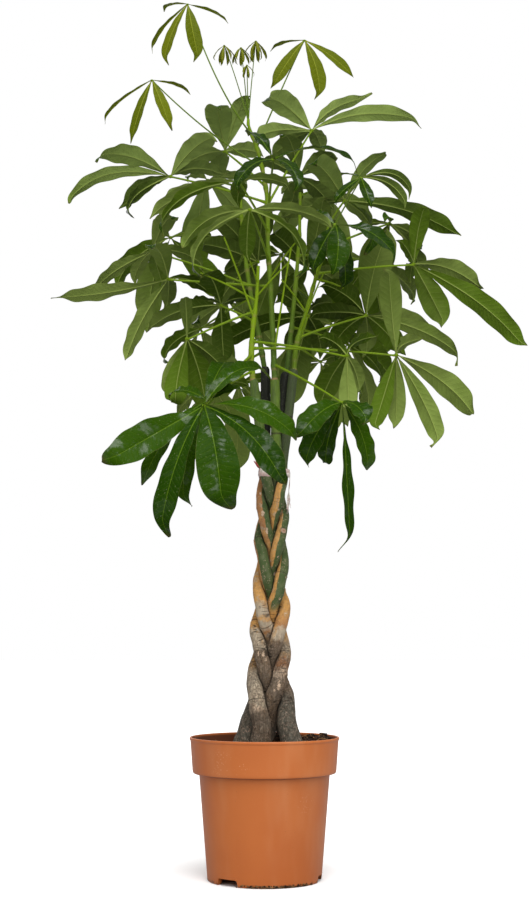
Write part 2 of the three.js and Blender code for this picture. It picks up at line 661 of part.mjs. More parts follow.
// A blade by itself from a point along its midrib, with room kept round it
function bladeSolid(shape, width, phase, stations, start, room) {
  const upper = [];
  const lower = [];
  const half = LEAF.thickness / 2 + room;
  const addPoint = ([point, normal]) => {
    upper.push(point.clone().addScaledVector(normal, half));
    lower.push(point.clone().addScaledVector(normal, -half));
    return upper.length - 1;
  };
  const first = shape.at(start);
  const root = addPoint([first.point, first.normal]);
  const index = bladeRows(shape, width, phase, stations, room).map((row) => row.map(addPoint));
  const [left, middle, right] = index[0];
  const faces = [[root, right, middle], [root, middle, left], ...bladeFaces(index)];
  const rights = index.slice(0, -1).map((row) => row[2]);
  const lefts = index.slice(0, -1).map((row) => row[0]);
  const outline = [root, ...rights, index[index.length - 1][0], ...lefts.reverse(), root];
  return thickSolid(upper, lower, faces, [outline]);
}

// The leaflets of a frond that the front view hides, set round its hub like a star
function starTips({ faces, leaflets, reach }, random) {
  const face = facing(faces);
  const ahead = facing([faces[0], 0]);
  ahead.addScaledVector(face, -face.dot(ahead)).normalize();
  const beside = face.clone().cross(ahead);
  const droop = radians(STAR.droop);
  const tips = [];
  for (let i = 0; i < leaflets; i += 1) {
    const off = (i / (leaflets - 1)) * 2 - 1;
    const angle = radians((off * STAR.spread) / 2 + (random() - 0.5) * 12);
    const length = reach * mix(1, STAR.shortest, Math.abs(off) ** 1.5) * (0.94 + 0.12 * random());
    const tip = ahead.clone().multiplyScalar(Math.cos(angle)).addScaledVector(beside, Math.sin(angle));
    tip.multiplyScalar(Math.cos(droop)).addScaledVector(face, -Math.sin(droop));
    tip.addScaledVector(UP, -STAR.sag).multiplyScalar(length);
    tips.push([tip.x, tip.y, tip.z]);
  }
  return tips;
}

// What is already in place, and whether a new solid keeps out of it
const placed = [];

function touches(a, b) {
  const [p, q] = [a.boundingBox(), b.boundingBox()];
  return [0, 1, 2].every((i) => p.min[i] < q.max[i] && q.min[i] < p.max[i]);
}

function isClear(solid) {
  return placed.every((other) => !touches(solid, other) || solid.intersect(other).isEmpty());
}

// Petiole: bowed sideways as far as it must be to pass the stems in its way
const BOWS = [0, 10, -10, 20, -20, 32, -32, 46, -46];

function petioleCurve(frond, bow) {
  const root = shootPoint(frond.stem, frond.at);
  const towards = new THREE.Vector3();
  frond.tips.forEach((tip) => towards.addScaledVector(vector(tip).normalize(), HUB.radius / frond.tips.length));
  const face = facing(frond.faces);
  towards.addScaledVector(face, -face.dot(towards));
  const hub = vector(frond.hub).add(towards); // well inside the leaflets' shared root
  const along = hub.clone().sub(root);
  const beside = along.clone().cross(UP).normalize();
  const bend = root.clone().lerp(hub, 0.5);
  const rise = frond.rise ?? PETIOLE.rise;
  bend.addScaledVector(UP, rise * along.length()).addScaledVector(beside, bow);
  return new THREE.QuadraticBezierCurve3(root, bend, hub);
}

function petioleSolid(curve, grow, from, thin) {
  const part = new THREE.CatmullRomCurve3([from, 0.25, 0.5, 0.75, 1].map((t) => curve.getPoint(t)));
  const radius = (t) => mix(PETIOLE.footRadius, PETIOLE.hubRadius, t) * thin + grow;
  return solidOf(stem(part, radius, PETIOLE.sides, PETIOLE.steps));
}

function placePetiole(frond) {
  const thin = frond.young ? 0.75 : 1;
  const length = shootPoint(frond.stem, frond.at).distanceTo(vector(frond.hub));
  const away = Math.min(11 / length, 0.2);
  const bow = BOWS.find((b) => isClear(petioleSolid(petioleCurve(frond, b), 0.8, away, thin))) ?? 0;
  frond.bow = bow;
  frond.petiole = petioleSolid(petioleCurve(frond, bow), 0, 0, thin);
  placed.push(petioleSolid(petioleCurve(frond, bow), 0, away, thin));
}

// Leaflets: each takes the first turn and lift that keeps it clear, and one that finds none is left out
function placeLeaflets(frond, index) {
  const hub = vector(frond.hub);
  const face = facing(frond.faces);
  frond.blades = [];
  const usualRise = frond.young ? LEAF.youngRise : LEAF.rise;
  frond.tips.forEach(([x, y, z, width, rise = usualRise], i) => {
    const chord = new THREE.Vector3(x, y, z);
    const length = chord.length();
    const wide = width ?? LEAF.widthShare * length;
    const phase = index * 1.3 + i * 2.1;
    const stations = stationsFor(length);
    for (const [swing, lift] of TURNS) {
      const along = chord.clone().normalize().applyAxisAngle(face, radians(swing));
      const upper = face.clone().addScaledVector(along, -face.dot(along)).normalize();
      along.multiplyScalar(Math.cos(radians(lift))).addScaledVector(upper, Math.sin(radians(lift)));
      const shape = leafletShape(hub, hub.clone().addScaledVector(along, length), face, rise);
      if (isClear(bladeSolid(shape, wide, phase, stations, CLEAR.fromHub, CLEAR.room))) {
        frond.blades.push({ shape, width: wide, phase, stations });
        placed.push(bladeSolid(shape, wide, phase, stations, CLEAR.fromHub, 0));
        return;
      }
    }
  });
}

// Leaflets that share one hub: a small flat polygon with a leaflet on every second side
function starSolid(hub, face, leaflets, hubSize) {
  const ahead = Math.abs(face.z) < 0.9 ? UP.clone() : new THREE.Vector3(0, -1, 0);
  ahead.addScaledVector(face, -face.dot(ahead)).normalize();
  const beside = face.clone().cross(ahead);
  const order = leaflets.map((leaflet) => {
    const start = leaflet.shape.at(0.1).point.clone().sub(hub);
    return { ...leaflet, angle: Math.atan2(start.dot(beside), start.dot(ahead)) };
  });
  order.sort((a, b) => a.angle - b.angle);
  const full = 2 * Math.PI;
  const gapAfter = (i) => (order[(i + 1) % order.length].angle - order[i].angle + full) % full;
  for (let pass = 0; pass < 60; pass += 1) {
    order.forEach((leaflet, i) => {
      const short = radians(HUB.leastAngle) - gapAfter(i);
      if (short > 0 && order.length > 1) {
        leaflet.angle -= short / 2;
        order[(i + 1) % order.length].angle += short / 2;
      }
    });
  }
  const upper = [];
  const lower = [];
  const addPoint = (middle, normal, half) => {
    upper.push(middle.clone().addScaledVector(normal, half));
    lower.push(middle.clone().addScaledVector(normal, -half));
    return upper.length - 1;
  };
  order.forEach((leaflet, i) => {
    const before = gapAfter((i + order.length - 1) % order.length);
    const half = 0.4 * Math.min(before, gapAfter(i), radians(60));
    for (const angle of [leaflet.angle - half, leaflet.angle + half]) {
      const out = ahead.clone().multiplyScalar(Math.cos(angle)).addScaledVector(beside, Math.sin(angle));
      addPoint(hub.clone().addScaledVector(out, HUB.radius * hubSize), face, HUB.halfThickness * hubSize);
    }
  });
  const faces = [];
  const rim = [];
  for (let i = 1; i < 2 * order.length - 1; i += 1) faces.push([0, i, i + 1]);
  order.forEach((leaflet, i) => {
    const right0 = 2 * i;
    const left0 = 2 * i + 1;
    const rows = bladeRows(leaflet.shape, leaflet.width, leaflet.phase, leaflet.stations, 0);
    const index = rows.map((row) => row.map(([point, normal]) => addPoint(point, normal, LEAF.thickness / 2)));
    const [left1, middle1, right1] = index[0];
    faces.push([right0, right1, middle1], [right0, middle1, left0], [left0, middle1, left1]);
    faces.push(...bladeFaces(index));
    const rights = index.slice(0, -1).map((row) => row[2]);
    const lefts = index.slice(0, -1).map((row) => row[0]);
    rim.push([right0, ...rights, index[index.length - 1][0], ...lefts.reverse(), left0]);
    rim.push([left0, (2 * i + 2) % (2 * order.length)]);
  });
  return thickSolid(upper, lower, faces, rim);
}

function frondGeometry(frond, stems) {
  const size = frond.young ? 0.75 : 1;
  const star = starSolid(vector(frond.hub), facing(frond.faces), frond.blades, size);
  const solid = star.add(frond.petiole).subtract(stems[frond.stem]);
  const pieces = solid.decompose().sort((a, b) => b.volume() - a.volume());
  return geometryOf(pieces[0]);
}

// Growing tip: a short stem that parts into four small opening fronds
function tipGeometry() {
  const from = vector(TIP.from);
  const parts = [];
  const neck = from.clone().addScaledVector(UP, TIP.stem);
  parts.push(solidOf(stem(new THREE.LineCurve3(from.clone().addScaledVector(UP, GAP), neck), () => 2.2, 6, 1)));
  TIP_FRONDS.forEach(({ hub, leaflets, reach }, index) => {
    const end = vector(hub);
    const bend = neck.clone().lerp(end, 0.5).addScaledVector(UP, 8);
    const start = neck.clone().addScaledVector(UP, -1.5);
    const petiole = new THREE.QuadraticBezierCurve3(start, bend, end);
    parts.push(solidOf(stem(petiole, () => TIP.petioleRadius, 4, 3)));
    const blades = [];
    for (let i = 0; i < leaflets; i += 1) {
      const round = radians((360 * i) / leaflets + 40 * index);
      const out = Math.cos(radians(TIP.droop));
      const tip = new THREE.Vector3(Math.cos(round) * out, Math.sin(round) * out, -Math.sin(radians(TIP.droop)));
      const shape = leafletShape(end, tip.multiplyScalar(reach).add(end), UP, 0.28);
      blades.push({ shape, width: TIP.leafletWidth, phase: i, stations: [0.5] });
    }
    parts.push(starSolid(end, UP, blades, 0.5));
  });
  return geometryOf(wasm.Manifold.union(parts));
}

const plant = new THREE.Group();

function add(name, geometry, kind) {
  geometry.computeVertexNormals();
  const mesh = new THREE.Mesh(geometry, new THREE.MeshStandardMaterial(COLOURS[kind]));
  mesh.name = name;
  plant.add(mesh);
}

const levels = plaitLevels();
add("pot", potGeometry(), "pot");
add("soil", soilGeometry(levels), "soil");

// Each trunk with the shoot that grew from it
const grownStems = {};
TOPS.forEach((top, k) => {
  const [name, shoot] = Object.entries(SHOOTS).find(([, s]) => s.trunk === k);
  const trunk = solidOf(loft(trunkRings(levels, top, TRUNK.strandOfTop[k], 0, true, true)));
  const whole = trunk.add(shootSolid(name, 0));
  add(`trunk_${k + 1}`, geometryOf(whole), "trunk");
  placed.push(whole);
  const wider = trunkRings(levels, top, TRUNK.strandOfTop[k], GAP, false, true);
  grownStems[name] = shootSolid(name, GAP).add(solidOf(loft(wider)));
});
add("tie", tieGeometry(levels), "tie");

const tip = tipGeometry();
add("shoot_tip", tip, "youngLeaf");
placed.push(solidOf(tip));

const random = seeded(7);
const hidden = HIDDEN_FRONDS.map((frond) => ({ ...frond, tips: starTips(frond, random) }));
const fronds = [...FRONDS, ...hidden];
fronds.forEach(placePetiole);
for (const { hub } of fronds) {
  placed.push(solidOf(new THREE.IcosahedronGeometry(CLEAR.hub, 0).translate(...hub)));
}
fronds.forEach(placeLeaflets);
fronds.forEach((frond) => {
  add(`frond_${frond.name}`, frondGeometry(frond, grownStems), frond.young ? "youngLeaf" : "leaf");
});

export default plant;
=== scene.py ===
# A money tree in its nursery pot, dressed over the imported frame.
# Sizes in the dictionaries are millimetres, and colours are linear red, green and blue.
import math
import random

import bpy
import numpy as np
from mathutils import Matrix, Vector, noise
from mathutils.kdtree import KDTree


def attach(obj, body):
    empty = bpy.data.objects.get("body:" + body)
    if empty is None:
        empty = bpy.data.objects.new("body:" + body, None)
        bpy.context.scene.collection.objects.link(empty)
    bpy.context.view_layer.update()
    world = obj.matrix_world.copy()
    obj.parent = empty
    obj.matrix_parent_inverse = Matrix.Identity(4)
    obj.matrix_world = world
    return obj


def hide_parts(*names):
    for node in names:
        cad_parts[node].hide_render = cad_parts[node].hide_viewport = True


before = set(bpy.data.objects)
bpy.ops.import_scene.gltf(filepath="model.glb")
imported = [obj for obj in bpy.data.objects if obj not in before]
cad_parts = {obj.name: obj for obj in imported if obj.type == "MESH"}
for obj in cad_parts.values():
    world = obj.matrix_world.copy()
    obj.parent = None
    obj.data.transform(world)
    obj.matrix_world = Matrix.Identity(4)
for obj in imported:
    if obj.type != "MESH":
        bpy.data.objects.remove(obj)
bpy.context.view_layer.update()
mm = 0.001
up = np.array([0.0, 0.0, 1.0])
print("frame loaded")


# Shader helpers

class Wire:  # a socket that plain arithmetic works on
    def __init__(self, finish, socket):
        self.finish = finish
        self.socket = socket

    def maths(self, operation, first, second):
        return self.finish.node("Math", {"operation": operation}, {0: first, 1: second})

    def __add__(self, other):
        return self.maths("ADD", self, other)

    def __sub__(self, other):
        return self.maths("SUBTRACT", self, other)

    def __rsub__(self, other):
        return self.maths("SUBTRACT", other, self)

    def __mul__(self, other):
        return self.maths("MULTIPLY", self, other)

    def __truediv__(self, other):
        return self.maths("DIVIDE", self, other)

    def __pow__(self, other):
        return self.maths("POWER", self, other)

    def __abs__(self):
        return self.finish.node("Math", {"operation": "ABSOLUTE"}, {0: self})

    __radd__ = __add__
    __rmul__ = __mul__


class Finish:  # a material, and the ways its nodes are made
    def __init__(self, name):
        self.material = bpy.data.materials.new(name)
        self.material.use_nodes = True
        self.tree = self.material.node_tree
        self.tree.nodes.clear()

    def node(self, kind, settings=None, inputs=None, output=0):
        made = self.tree.nodes.new("ShaderNode" + kind)
        for name, value in (settings or {}).items():
            if name == "stops":
                self.setStops(made.color_ramp, value)
            else:
                setattr(made, name, value)
        for name, value in (inputs or {}).items():
            if isinstance(value, Wire):
                self.tree.links.new(value.socket, made.inputs[name])
            else:
                made.inputs[name].default_value = value
        return Wire(self, made.outputs[output]) if made.outputs else None

    def setStops(self, ramp, stops):
        while len(ramp.elements) < len(stops):
            ramp.elements.new(1.0)
        for element, (place, colour) in zip(ramp.elements, stops):
            element.position = place
            element.color = (*colour, 1)

    def place(self):
        return self.node("TexCoord", output="Object")

    def numbers(self, vector):
        split = self.node("SeparateXYZ", inputs={0: vector})
        return [Wire(self, socket) for socket in split.socket.node.outputs]

    def mark(self, name):  # the three numbers that a mesh keeps under a name
        return self.numbers(self.node("Attribute", {"attribute_name": name}, output="Vector"))

    def joined(self, x, y, z):
        return self.node("CombineXYZ", inputs={0: x, 1: y, 2: z})

    def moved(self, vector, by):
        return self.node("VectorMath", {"operation": "ADD"}, {0: vector, 1: by})

    def far(self, vector, point, tall=1.0):  # millimetres to a point, fewer up and down where tall is over 1
        offset = self.moved(vector, [-c * mm for c in point])
        scaled = self.stretched(offset, (1000, 1000, 1000 / tall))
        return self.node("VectorMath", {"operation": "LENGTH"}, {0: scaled}, output=1)

    def stretched(self, vector, scale):
        return self.node("Mapping", inputs={"Vector": vector, "Scale": scale})

    def clouds(self, vector, scale, detail=3.0, rough=0.5):
        inputs = {"Vector": vector, "Scale": scale, "Detail": detail, "Roughness": rough}
        return self.node("TexNoise", inputs=inputs)

    def cells(self, vector, scale, feature="F1"):
        return self.node("TexVoronoi", {"feature": feature}, {"Vector": vector, "Scale": scale})

    def step(self, value, low, high):  # rises softly from 0 at low to 1 at high
        settings = {"interpolation_type": "SMOOTHSTEP"}
        return self.node("MapRange", settings, {"Value": value, "From Min": low, "From Max": high})

    def fade(self, value, low, high):  # falls softly from 1 at low to 0 at high
        return 1 - self.step(value, low, high)

    def patches(self, vector, scale, low, high, detail=3.0, rough=0.5):  # soft-edged patches of cloud
        return self.step(self.clouds(vector, scale, detail, rough), low, high)

    def layered(self, colour, *layers):  # lays colour after colour over the first, each by its share
        for share, over in layers:
            colour = self.mix(share, colour, over)
        return colour

    def ramp(self, value, stops):
        return self.node("ValToRGB", {"stops": stops}, {0: value})

    def mix(self, share, first, second, how="MIX"):
        first, second = (c if isinstance(c, Wire) else (*c, 1) for c in (first, second))
        settings = {"data_type": "RGBA", "blend_type": how}
        return self.node("Mix", settings, {0: share, 6: first, 7: second}, output=2)

    def bump(self, height, distance, strength):
        return self.node("Bump", inputs={"Height": height, "Distance": distance, "Strength": strength})

    def surface(self, colour, rough, normal=None, glow=None, share=0, **constants):
        inputs = {"Base Color": colour, "Roughness": rough}
        inputs.update({name.replace("_", " "): value for name, value in constants.items()})
        if normal:
            inputs["Normal"] = normal
        shader = self.node("BsdfPrincipled", inputs=inputs)
        if glow:  # light that comes through a leaf
            through = self.node("BsdfTranslucent", inputs={"Color": (*glow, 1)})
            shader = self.node("MixShader", inputs={0: share, 1: shader, 2: through})
        self.node("OutputMaterial", inputs={0: shader})
        return self.material


# Mesh helpers

class Shape:  # points and faces that grow into one mesh
    def __init__(self):
        self.points = []
        self.faces = []
        self.slots = []
        self.marks = {}
        self.count = 0

    def add(self, points, faces, slot=0, **marks):
        points = np.asarray(points, float).reshape(-1, 3)
        self.points.append(points)
        self.faces.extend(tuple(int(i) + self.count for i in face) for face in faces)
        self.slots.extend([slot] * len(faces))
        for name, values in marks.items():
            whole = self.marks.setdefault(name, [])
            missing = self.count - sum(len(part) for part in whole)
            whole.append(np.zeros((missing, 3)))
            whole.append(np.broadcast_to(np.asarray(values, float), points.shape))
        self.count += len(points)

    def piece(self, name, finishes, nodes=(), sharp=50):
        mesh = bpy.data.meshes.new(name)
        mesh.from_pydata(np.concatenate(self.points) * mm, [], self.faces)
        for finish in finishes:
            mesh.materials.append(finish)
        mesh.polygons.foreach_set("material_index", self.slots)
        for mark, parts in self.marks.items():
            values = np.concatenate(parts)
            values = np.concatenate([values, np.zeros((self.count - len(values), 3))])
            mesh.attributes.new(mark, "FLOAT_VECTOR", "POINT").data.foreach_set("vector", values.ravel())
        mesh.validate()
        mesh.shade_smooth()
        mesh.set_sharp_from_angle(angle=math.radians(sharp))
        made = link(name, mesh)
        if nodes:
            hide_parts(*nodes)
        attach(made, "root")
        return made


def link(name, data):  # an object in the scene, made of a mesh, a lamp or a camera
    made = bpy.data.objects.new(name, data)
    bpy.context.scene.collection.objects.link(made)
    return made


def slab(rows, columns):  # faces of a thin sheet on two grids of points: upper side, lower side and rim
    grid = np.arange(rows * columns).reshape(rows, columns)
    corners = [part.ravel() for part in (grid[:-1, :-1], grid[:-1, 1:], grid[1:, 1:], grid[1:, :-1])]
    rim = np.concatenate([grid[:, 0], grid[-1, 1:], grid[-2::-1, -1], grid[0, -2:0:-1]])
    after = np.roll(rim, -1)
    upper, lower = np.stack(corners, 1), np.stack(corners[::-1], 1) + grid.size
    sides = np.stack([rim, after, after + grid.size, rim + grid.size], 1)
    return np.concatenate([upper, lower, sides]).tolist()


def unit(v):
    v = np.asarray(v, float)
    return v / np.maximum(np.linalg.norm(v, axis=-1, keepdims=True), 1e-9)


def inMetres(sizes):
    return [size * mm for size in sizes]


def smooth(value, low, high):
    share = np.clip((np.asarray(value, float) - low) / (high - low), 0, 1)
    return share * share * (3 - 2 * share)


def turning(angle, axis):  # the matrix of a turn about axis 0, 1 or 2
    i, j = ((1, 2), (2, 0), (0, 1))[axis]
    matrix = np.eye(3)
    matrix[i, i] = matrix[j, j] = math.cos(angle)
    matrix[j, i] = math.sin(angle)
    matrix[i, j] = -matrix[j, i]
    return matrix


def atHeight(line, z):  # where a rising line of points passes a height
    return np.array([np.interp(z, line[:, 2], line[:, axis]) for axis in range(3)])


def treeOf(points):  # finds the nearest of many points
    tree = KDTree(len(points))
    for i, point in enumerate(points):
        tree.insert(Vector(point), i)
    tree.balance()
    return tree


def bell(value, middle, reach):  # 1 at the middle, falling off softly to both sides
    return np.exp(-((value - middle) / reach) ** 2)


def readOff(pairs, places):  # straight-line reading of [place, value] pairs
    pairs = np.array(pairs, float)
    return np.interp(places, pairs[:, 0], pairs[:, 1])


def bezier(a, b, c, t):
    t = np.asarray(t, float)[:, None]
    return (1 - t) ** 2 * a + 2 * (1 - t) * t * b + t * t * c


def throughPoints(route, t):  # centripetal Catmull-Rom curve, as the trunks and shoots of the frame follow
    route = np.asarray(route, float)
    spans = len(route) - 1
    ahead = np.concatenate([[2 * route[0] - route[1]], route, [2 * route[-1] - route[-2]]])
    points = []
    for value in np.atleast_1d(t):
        k = min(int(value * spans), spans - 1)
        weight = value * spans - k
        p = ahead[k:k + 4]
        knots = np.maximum(np.linalg.norm(np.diff(p, axis=0), axis=1) ** 0.5, 1e-4)
        slopes = np.diff(p, axis=0) / knots[:, None]
        start = slopes[0] - (p[2] - p[0]) / (knots[0] + knots[1]) + slopes[1]
        end = slopes[1] - (p[3] - p[1]) / (knots[1] + knots[2]) + slopes[2]
        start, end = start * knots[1], end * knots[1]
        cubic = 2 * p[1] - 2 * p[2] + start + end
        square = -3 * p[1] + 3 * p[2] - 2 * start - end
        points.append(((cubic * weight + square) * weight + start) * weight + p[1])
    return np.array(points)


def tube(centres, radii, sides, relief=None):  # a round stem with closed ends
    along = unit(np.gradient(centres, axis=0))
    first = unit(np.cross(along[0], [0.3, 1, 0.1]))
    rings = []
    angles = np.arange(sides) * 2 * math.pi / sides
    for k, centre in enumerate(centres):
        first = unit(first - along[k] * np.dot(first, along[k]))
        second = np.cross(along[k], first)
        out = np.cos(angles)[:, None] * first + np.sin(angles)[:, None] * second
        reach = radii[k] + (relief(centre, out, k) if relief else 0)
        rings.append(centre + out * np.reshape(reach, (-1, 1)))
    points = np.concatenate(rings + [centres[:1], centres[-1:]])
    last = (len(centres) - 1) * sides
    faces = []
    for k in range(len(centres) - 1):
        for i in range(sides):
            a, b = k * sides + i, k * sides + (i + 1) % sides
            faces.append((a, b, b + sides, a + sides))
    for i in range(sides):
        b = (i + 1) % sides
        faces.append((b, i, last + sides))
        faces.append((last + i, last + b, last + sides + 1))
    return points, faces


def ringsOf(count, sides):  # the ring that each point of a tube belongs to
    return np.concatenate([np.repeat(np.arange(count), sides), [0, count - 1]])


def nodePoints(name):
    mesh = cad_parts[name].data
    points = np.zeros(len(mesh.vertices) * 3, np.float32)
    mesh.vertices.foreach_get("co", points)
    return points.reshape(-1, 3).astype(float) / mm


def turned(profile, sides):  # a closed profile of (radius, height) turned round the upright axis
    angles = np.arange(sides) * 2 * math.pi / sides
    points = []
    index = []
    for radius, height in profile:
        if radius < 1e-6:
            index.append([len(points)] * sides)
            points.append((0, 0, height))
        else:
            index.append(list(range(len(points), len(points) + sides)))
            points.extend((radius * math.sin(a), -radius * math.cos(a), height) for a in angles)
    faces = []
    for low, high in zip(index, index[1:]):
        for i in range(sides):
            j = (i + 1) % sides
            face = list(dict.fromkeys([low[i], low[j], high[j], high[i]]))
            if len(face) > 2:
                faces.append(face)
    return points, faces


def filleted(corners):  # (radius, height, rounding) corners as a profile with arcs at the rounded ones
    profile = []
    for k, (r, z, rounding) in enumerate(corners):
        here = np.array([r, z])
        if not rounding:
            profile.append((r, z))
            continue
        before = np.array(corners[k - 1][:2]) - here
        after = np.array(corners[(k + 1) % len(corners)][:2]) - here
        cut = min(rounding, np.linalg.norm(before) * 0.48, np.linalg.norm(after) * 0.48)
        start, end = here + unit(before) * cut, here + unit(after) * cut
        profile.extend(tuple(p) for p in bezier(start, here, end, np.linspace(0, 1, 6)))
    return profile


# Pot

pot = {
    "height": 195, "rimRadius": 105, "lipHeight": 3.5, "lipOverhang": 1.2, "collarHeight": 48,
    "collarFoot": 100.6, "shoulder": 91.4, "base": 79.2, "wall": 2.0, "rimWidth": 2.8, "floor": 10.5,
    "floorThickness": 2.4, "footRing": 7, "centreFoot": 20, "sides": 192, "sharp": 40,
    "notchWidth": 37, "notchTop": 31, "notchHeight": 9.5, "notchAngles": (-40, 79, 199), "notchCut": (5, -3),
    "colour": (0.472, 0.128, 0.026), "deep": (0.425, 0.108, 0.021), "dust": (0.66, 0.37, 0.20),
    # inside: the inner wall's colour, painted shade with some soil
    "dirt": (0.030, 0.018, 0.010), "inside": (0.065, 0.016, 0.005), "collarShade": (0.21, 0.046, 0.012),
    "dusty": [((56, -69, 111), 20), ((-58, -83, 165), 24), ((-30, -96, 160), 16)],  # middle and reach
    # collarShadeHeight and collarShadeEdge: where the painted shade under the collar lies, and its soft edge
    "collarShadeHeight": 145.2, "collarShadeEdge": (0.6, 1.8), "grimeTop": (1.2, 4.5),
    "insideFrom": (149, 151), "insideTo": (191, 194),  # where the inner skin is seen, with soft ends; there it is painted dark, as painted shade and some soil
    "midWall": (150, 99.6, 0.0785),  # a height, the radius between the wall's skins there, and its slope
    "skinEdge": (-0.4, 0.4), "crumbs": 230, "crumbArc": (-30, 62, 22), "crumbSize": (0.5, 1.5),
    "crumbsOut": (-0.5, 0.9), "crumbsUp": 1.6, "crumbTones": (0, 0, 0.55, 0.7),
}


def plasticFinish():
    p = pot
    f = Finish("terracotta_plastic")
    at = f.place()
    x, y, z = f.numbers(at)
    broad = f.clouds(at, 9, 2)
    veil = f.clouds(f.stretched(at, (14, 14, 4)), 1, 3, 0.6)
    specks = f.fade(f.cells(at, 300) + (f.clouds(at, 700, 2) - 0.5) * 0.3, 0.08, 0.30)
    dusty = f.patches(at, 60, 0.40, 0.62, 3, 0.6) * 0.04
    for point, reach in p["dusty"]:
        off = f.far(at, point) + f.clouds(at, 70, 3) * 14
        dusty = dusty + f.fade(off, reach * 0.4, reach * 1.3) * 0.55
    dust = specks * dusty
    dots = f.fade(f.cells(at, 150), 0.03, 0.07) * f.patches(at, 31, 0.52, 0.62, 1)
    foot = f.fade(z + (f.clouds(at, 95, 3) - 0.5) * 0.012, *inMetres(p["grimeTop"]))
    grime = foot * f.patches(at, 230, 0.42, 0.58, 4, 0.7)
    collarShade = f.fade(abs(z - p["collarShadeHeight"] * mm), *inMetres(p["collarShadeEdge"]))
    height, radius, slope = p["midWall"]
    midWall = (z - height * mm) * slope + radius * mm
    insideShadeAndSoil = f.fade((x * x + y * y) ** 0.5 - midWall, *inMetres(p["skinEdge"]))
    insideShadeAndSoil = insideShadeAndSoil * f.step(z, *inMetres(p["insideFrom"])) * f.fade(z, *inMetres(p["insideTo"]))
    colour = f.layered(
        p["colour"],
        (f.step(broad, 0.35, 0.7), p["deep"]),
        (f.step(veil, 0.48, 0.75) * 0.16, p["dust"]),
        (dust, p["dust"]),
        (dots * 0.6, p["dirt"]),
        (grime * 0.9, p["dirt"]),
        (collarShade * 0.75, p["collarShade"]),  # painted shade: the dark line of shadow under the collar
        # the inner wall: painted shade, and some soil
        (insideShadeAndSoil * 0.9, p["inside"]),
    )
    rough = 0.38 + f.clouds(at, 40, 3) * 0.10 + dust * 0.2 + veil * 0.06
    grain = f.clouds(at, 900, 2) * 0.25 + broad + dust * 0.4 + grime * 0.5
    return f.surface(colour, rough, f.bump(grain, 0.0004, 0.35), Specular_IOR_Level=0.34)


def potCorners():  # (radius, height, rounding) round the wall's section, from the middle of the underside
    p = pot
    floorTop = p["floor"] + p["floorThickness"]
    collarFoot = p["height"] - p["collarHeight"]
    inner = p["base"] + (p["shoulder"] - p["base"]) * floorTop / (collarFoot - 4) - p["wall"]
    ringInside = p["base"] - p["footRing"]
    lipFoot = p["height"] - p["lipHeight"]
    return [
        (0, 0, 0), (p["centreFoot"], 0, 0.8), (p["centreFoot"], p["floor"], 0.8),
        (ringInside, p["floor"], 0.8), (ringInside, 0, 0.8), (p["base"], 0, 1.6),
        (p["shoulder"], collarFoot - 2.2, 1.4), (p["collarFoot"] - 1.0, collarFoot - 1.2, 0.8),
        (p["collarFoot"], collarFoot + 1.6, 1.4), (p["rimRadius"] - p["lipOverhang"], lipFoot - 1, 1),
        (p["rimRadius"], lipFoot + 0.4, 1.2), (p["rimRadius"], p["height"], 1.4),
        (p["rimRadius"] - p["rimWidth"], p["height"], 1.2), (p["collarFoot"] - p["wall"], collarFoot + 3, 2),
        (p["shoulder"] - p["wall"], collarFoot - 2, 2), (inner, floorTop, 3), (0, floorTop, 0),
    ]


def notchCutter():  # prisms in the shape of the drainage notches
    p = pot
    half, top, tall = p["notchWidth"] / 2, p["notchTop"] / 2, p["notchHeight"]
    outline = [(-half, -1), (half, -1), (top + 1, tall - 1), (top - 1, tall), (1 - top, tall),
               (-top - 1, tall - 1)]
    outside, inside = p["base"] + p["notchCut"][0], p["base"] - p["footRing"] + p["notchCut"][1]
    points = np.array([(x, -reach, z) for reach in (outside, inside) for x, z in outline])
    count = len(outline)
    faces = [tuple(range(count)), tuple(reversed(range(count, 2 * count)))]
    faces += [((i + 1) % count, i, i + count, (i + 1) % count + count) for i in range(count)]
    cutter = Shape()
    for angle in p["notchAngles"]:
        cutter.add(points @ turning(math.radians(angle), 2).T, faces)
    mesh = bpy.data.meshes.new("notches")
    mesh.from_pydata(np.concatenate(cutter.points) * mm, [], cutter.faces)
    return link("notches", mesh)


def buildPot():
    shape = Shape()
    shape.add(*turned(filleted(potCorners()), pot["sides"]))
    made = shape.piece("pot_shell", [plasticFinish()], ["pot"], sharp=pot["sharp"])
    notches = notchCutter()
    cut = made.modifiers.new("notches", "BOOLEAN")
    cut.operation = "DIFFERENCE"
    cut.solver = "EXACT"
    cut.object = notches
    bpy.context.view_layer.update()
    whole = made.evaluated_get(bpy.context.evaluated_depsgraph_get())
    final = bpy.data.meshes.new_from_object(whole)
    made.modifiers.clear()
    made.data = final
    final.set_sharp_from_angle(angle=math.radians(pot["sharp"]))
    bpy.data.objects.remove(notches)


buildPot()
print("pot built")


# Soil

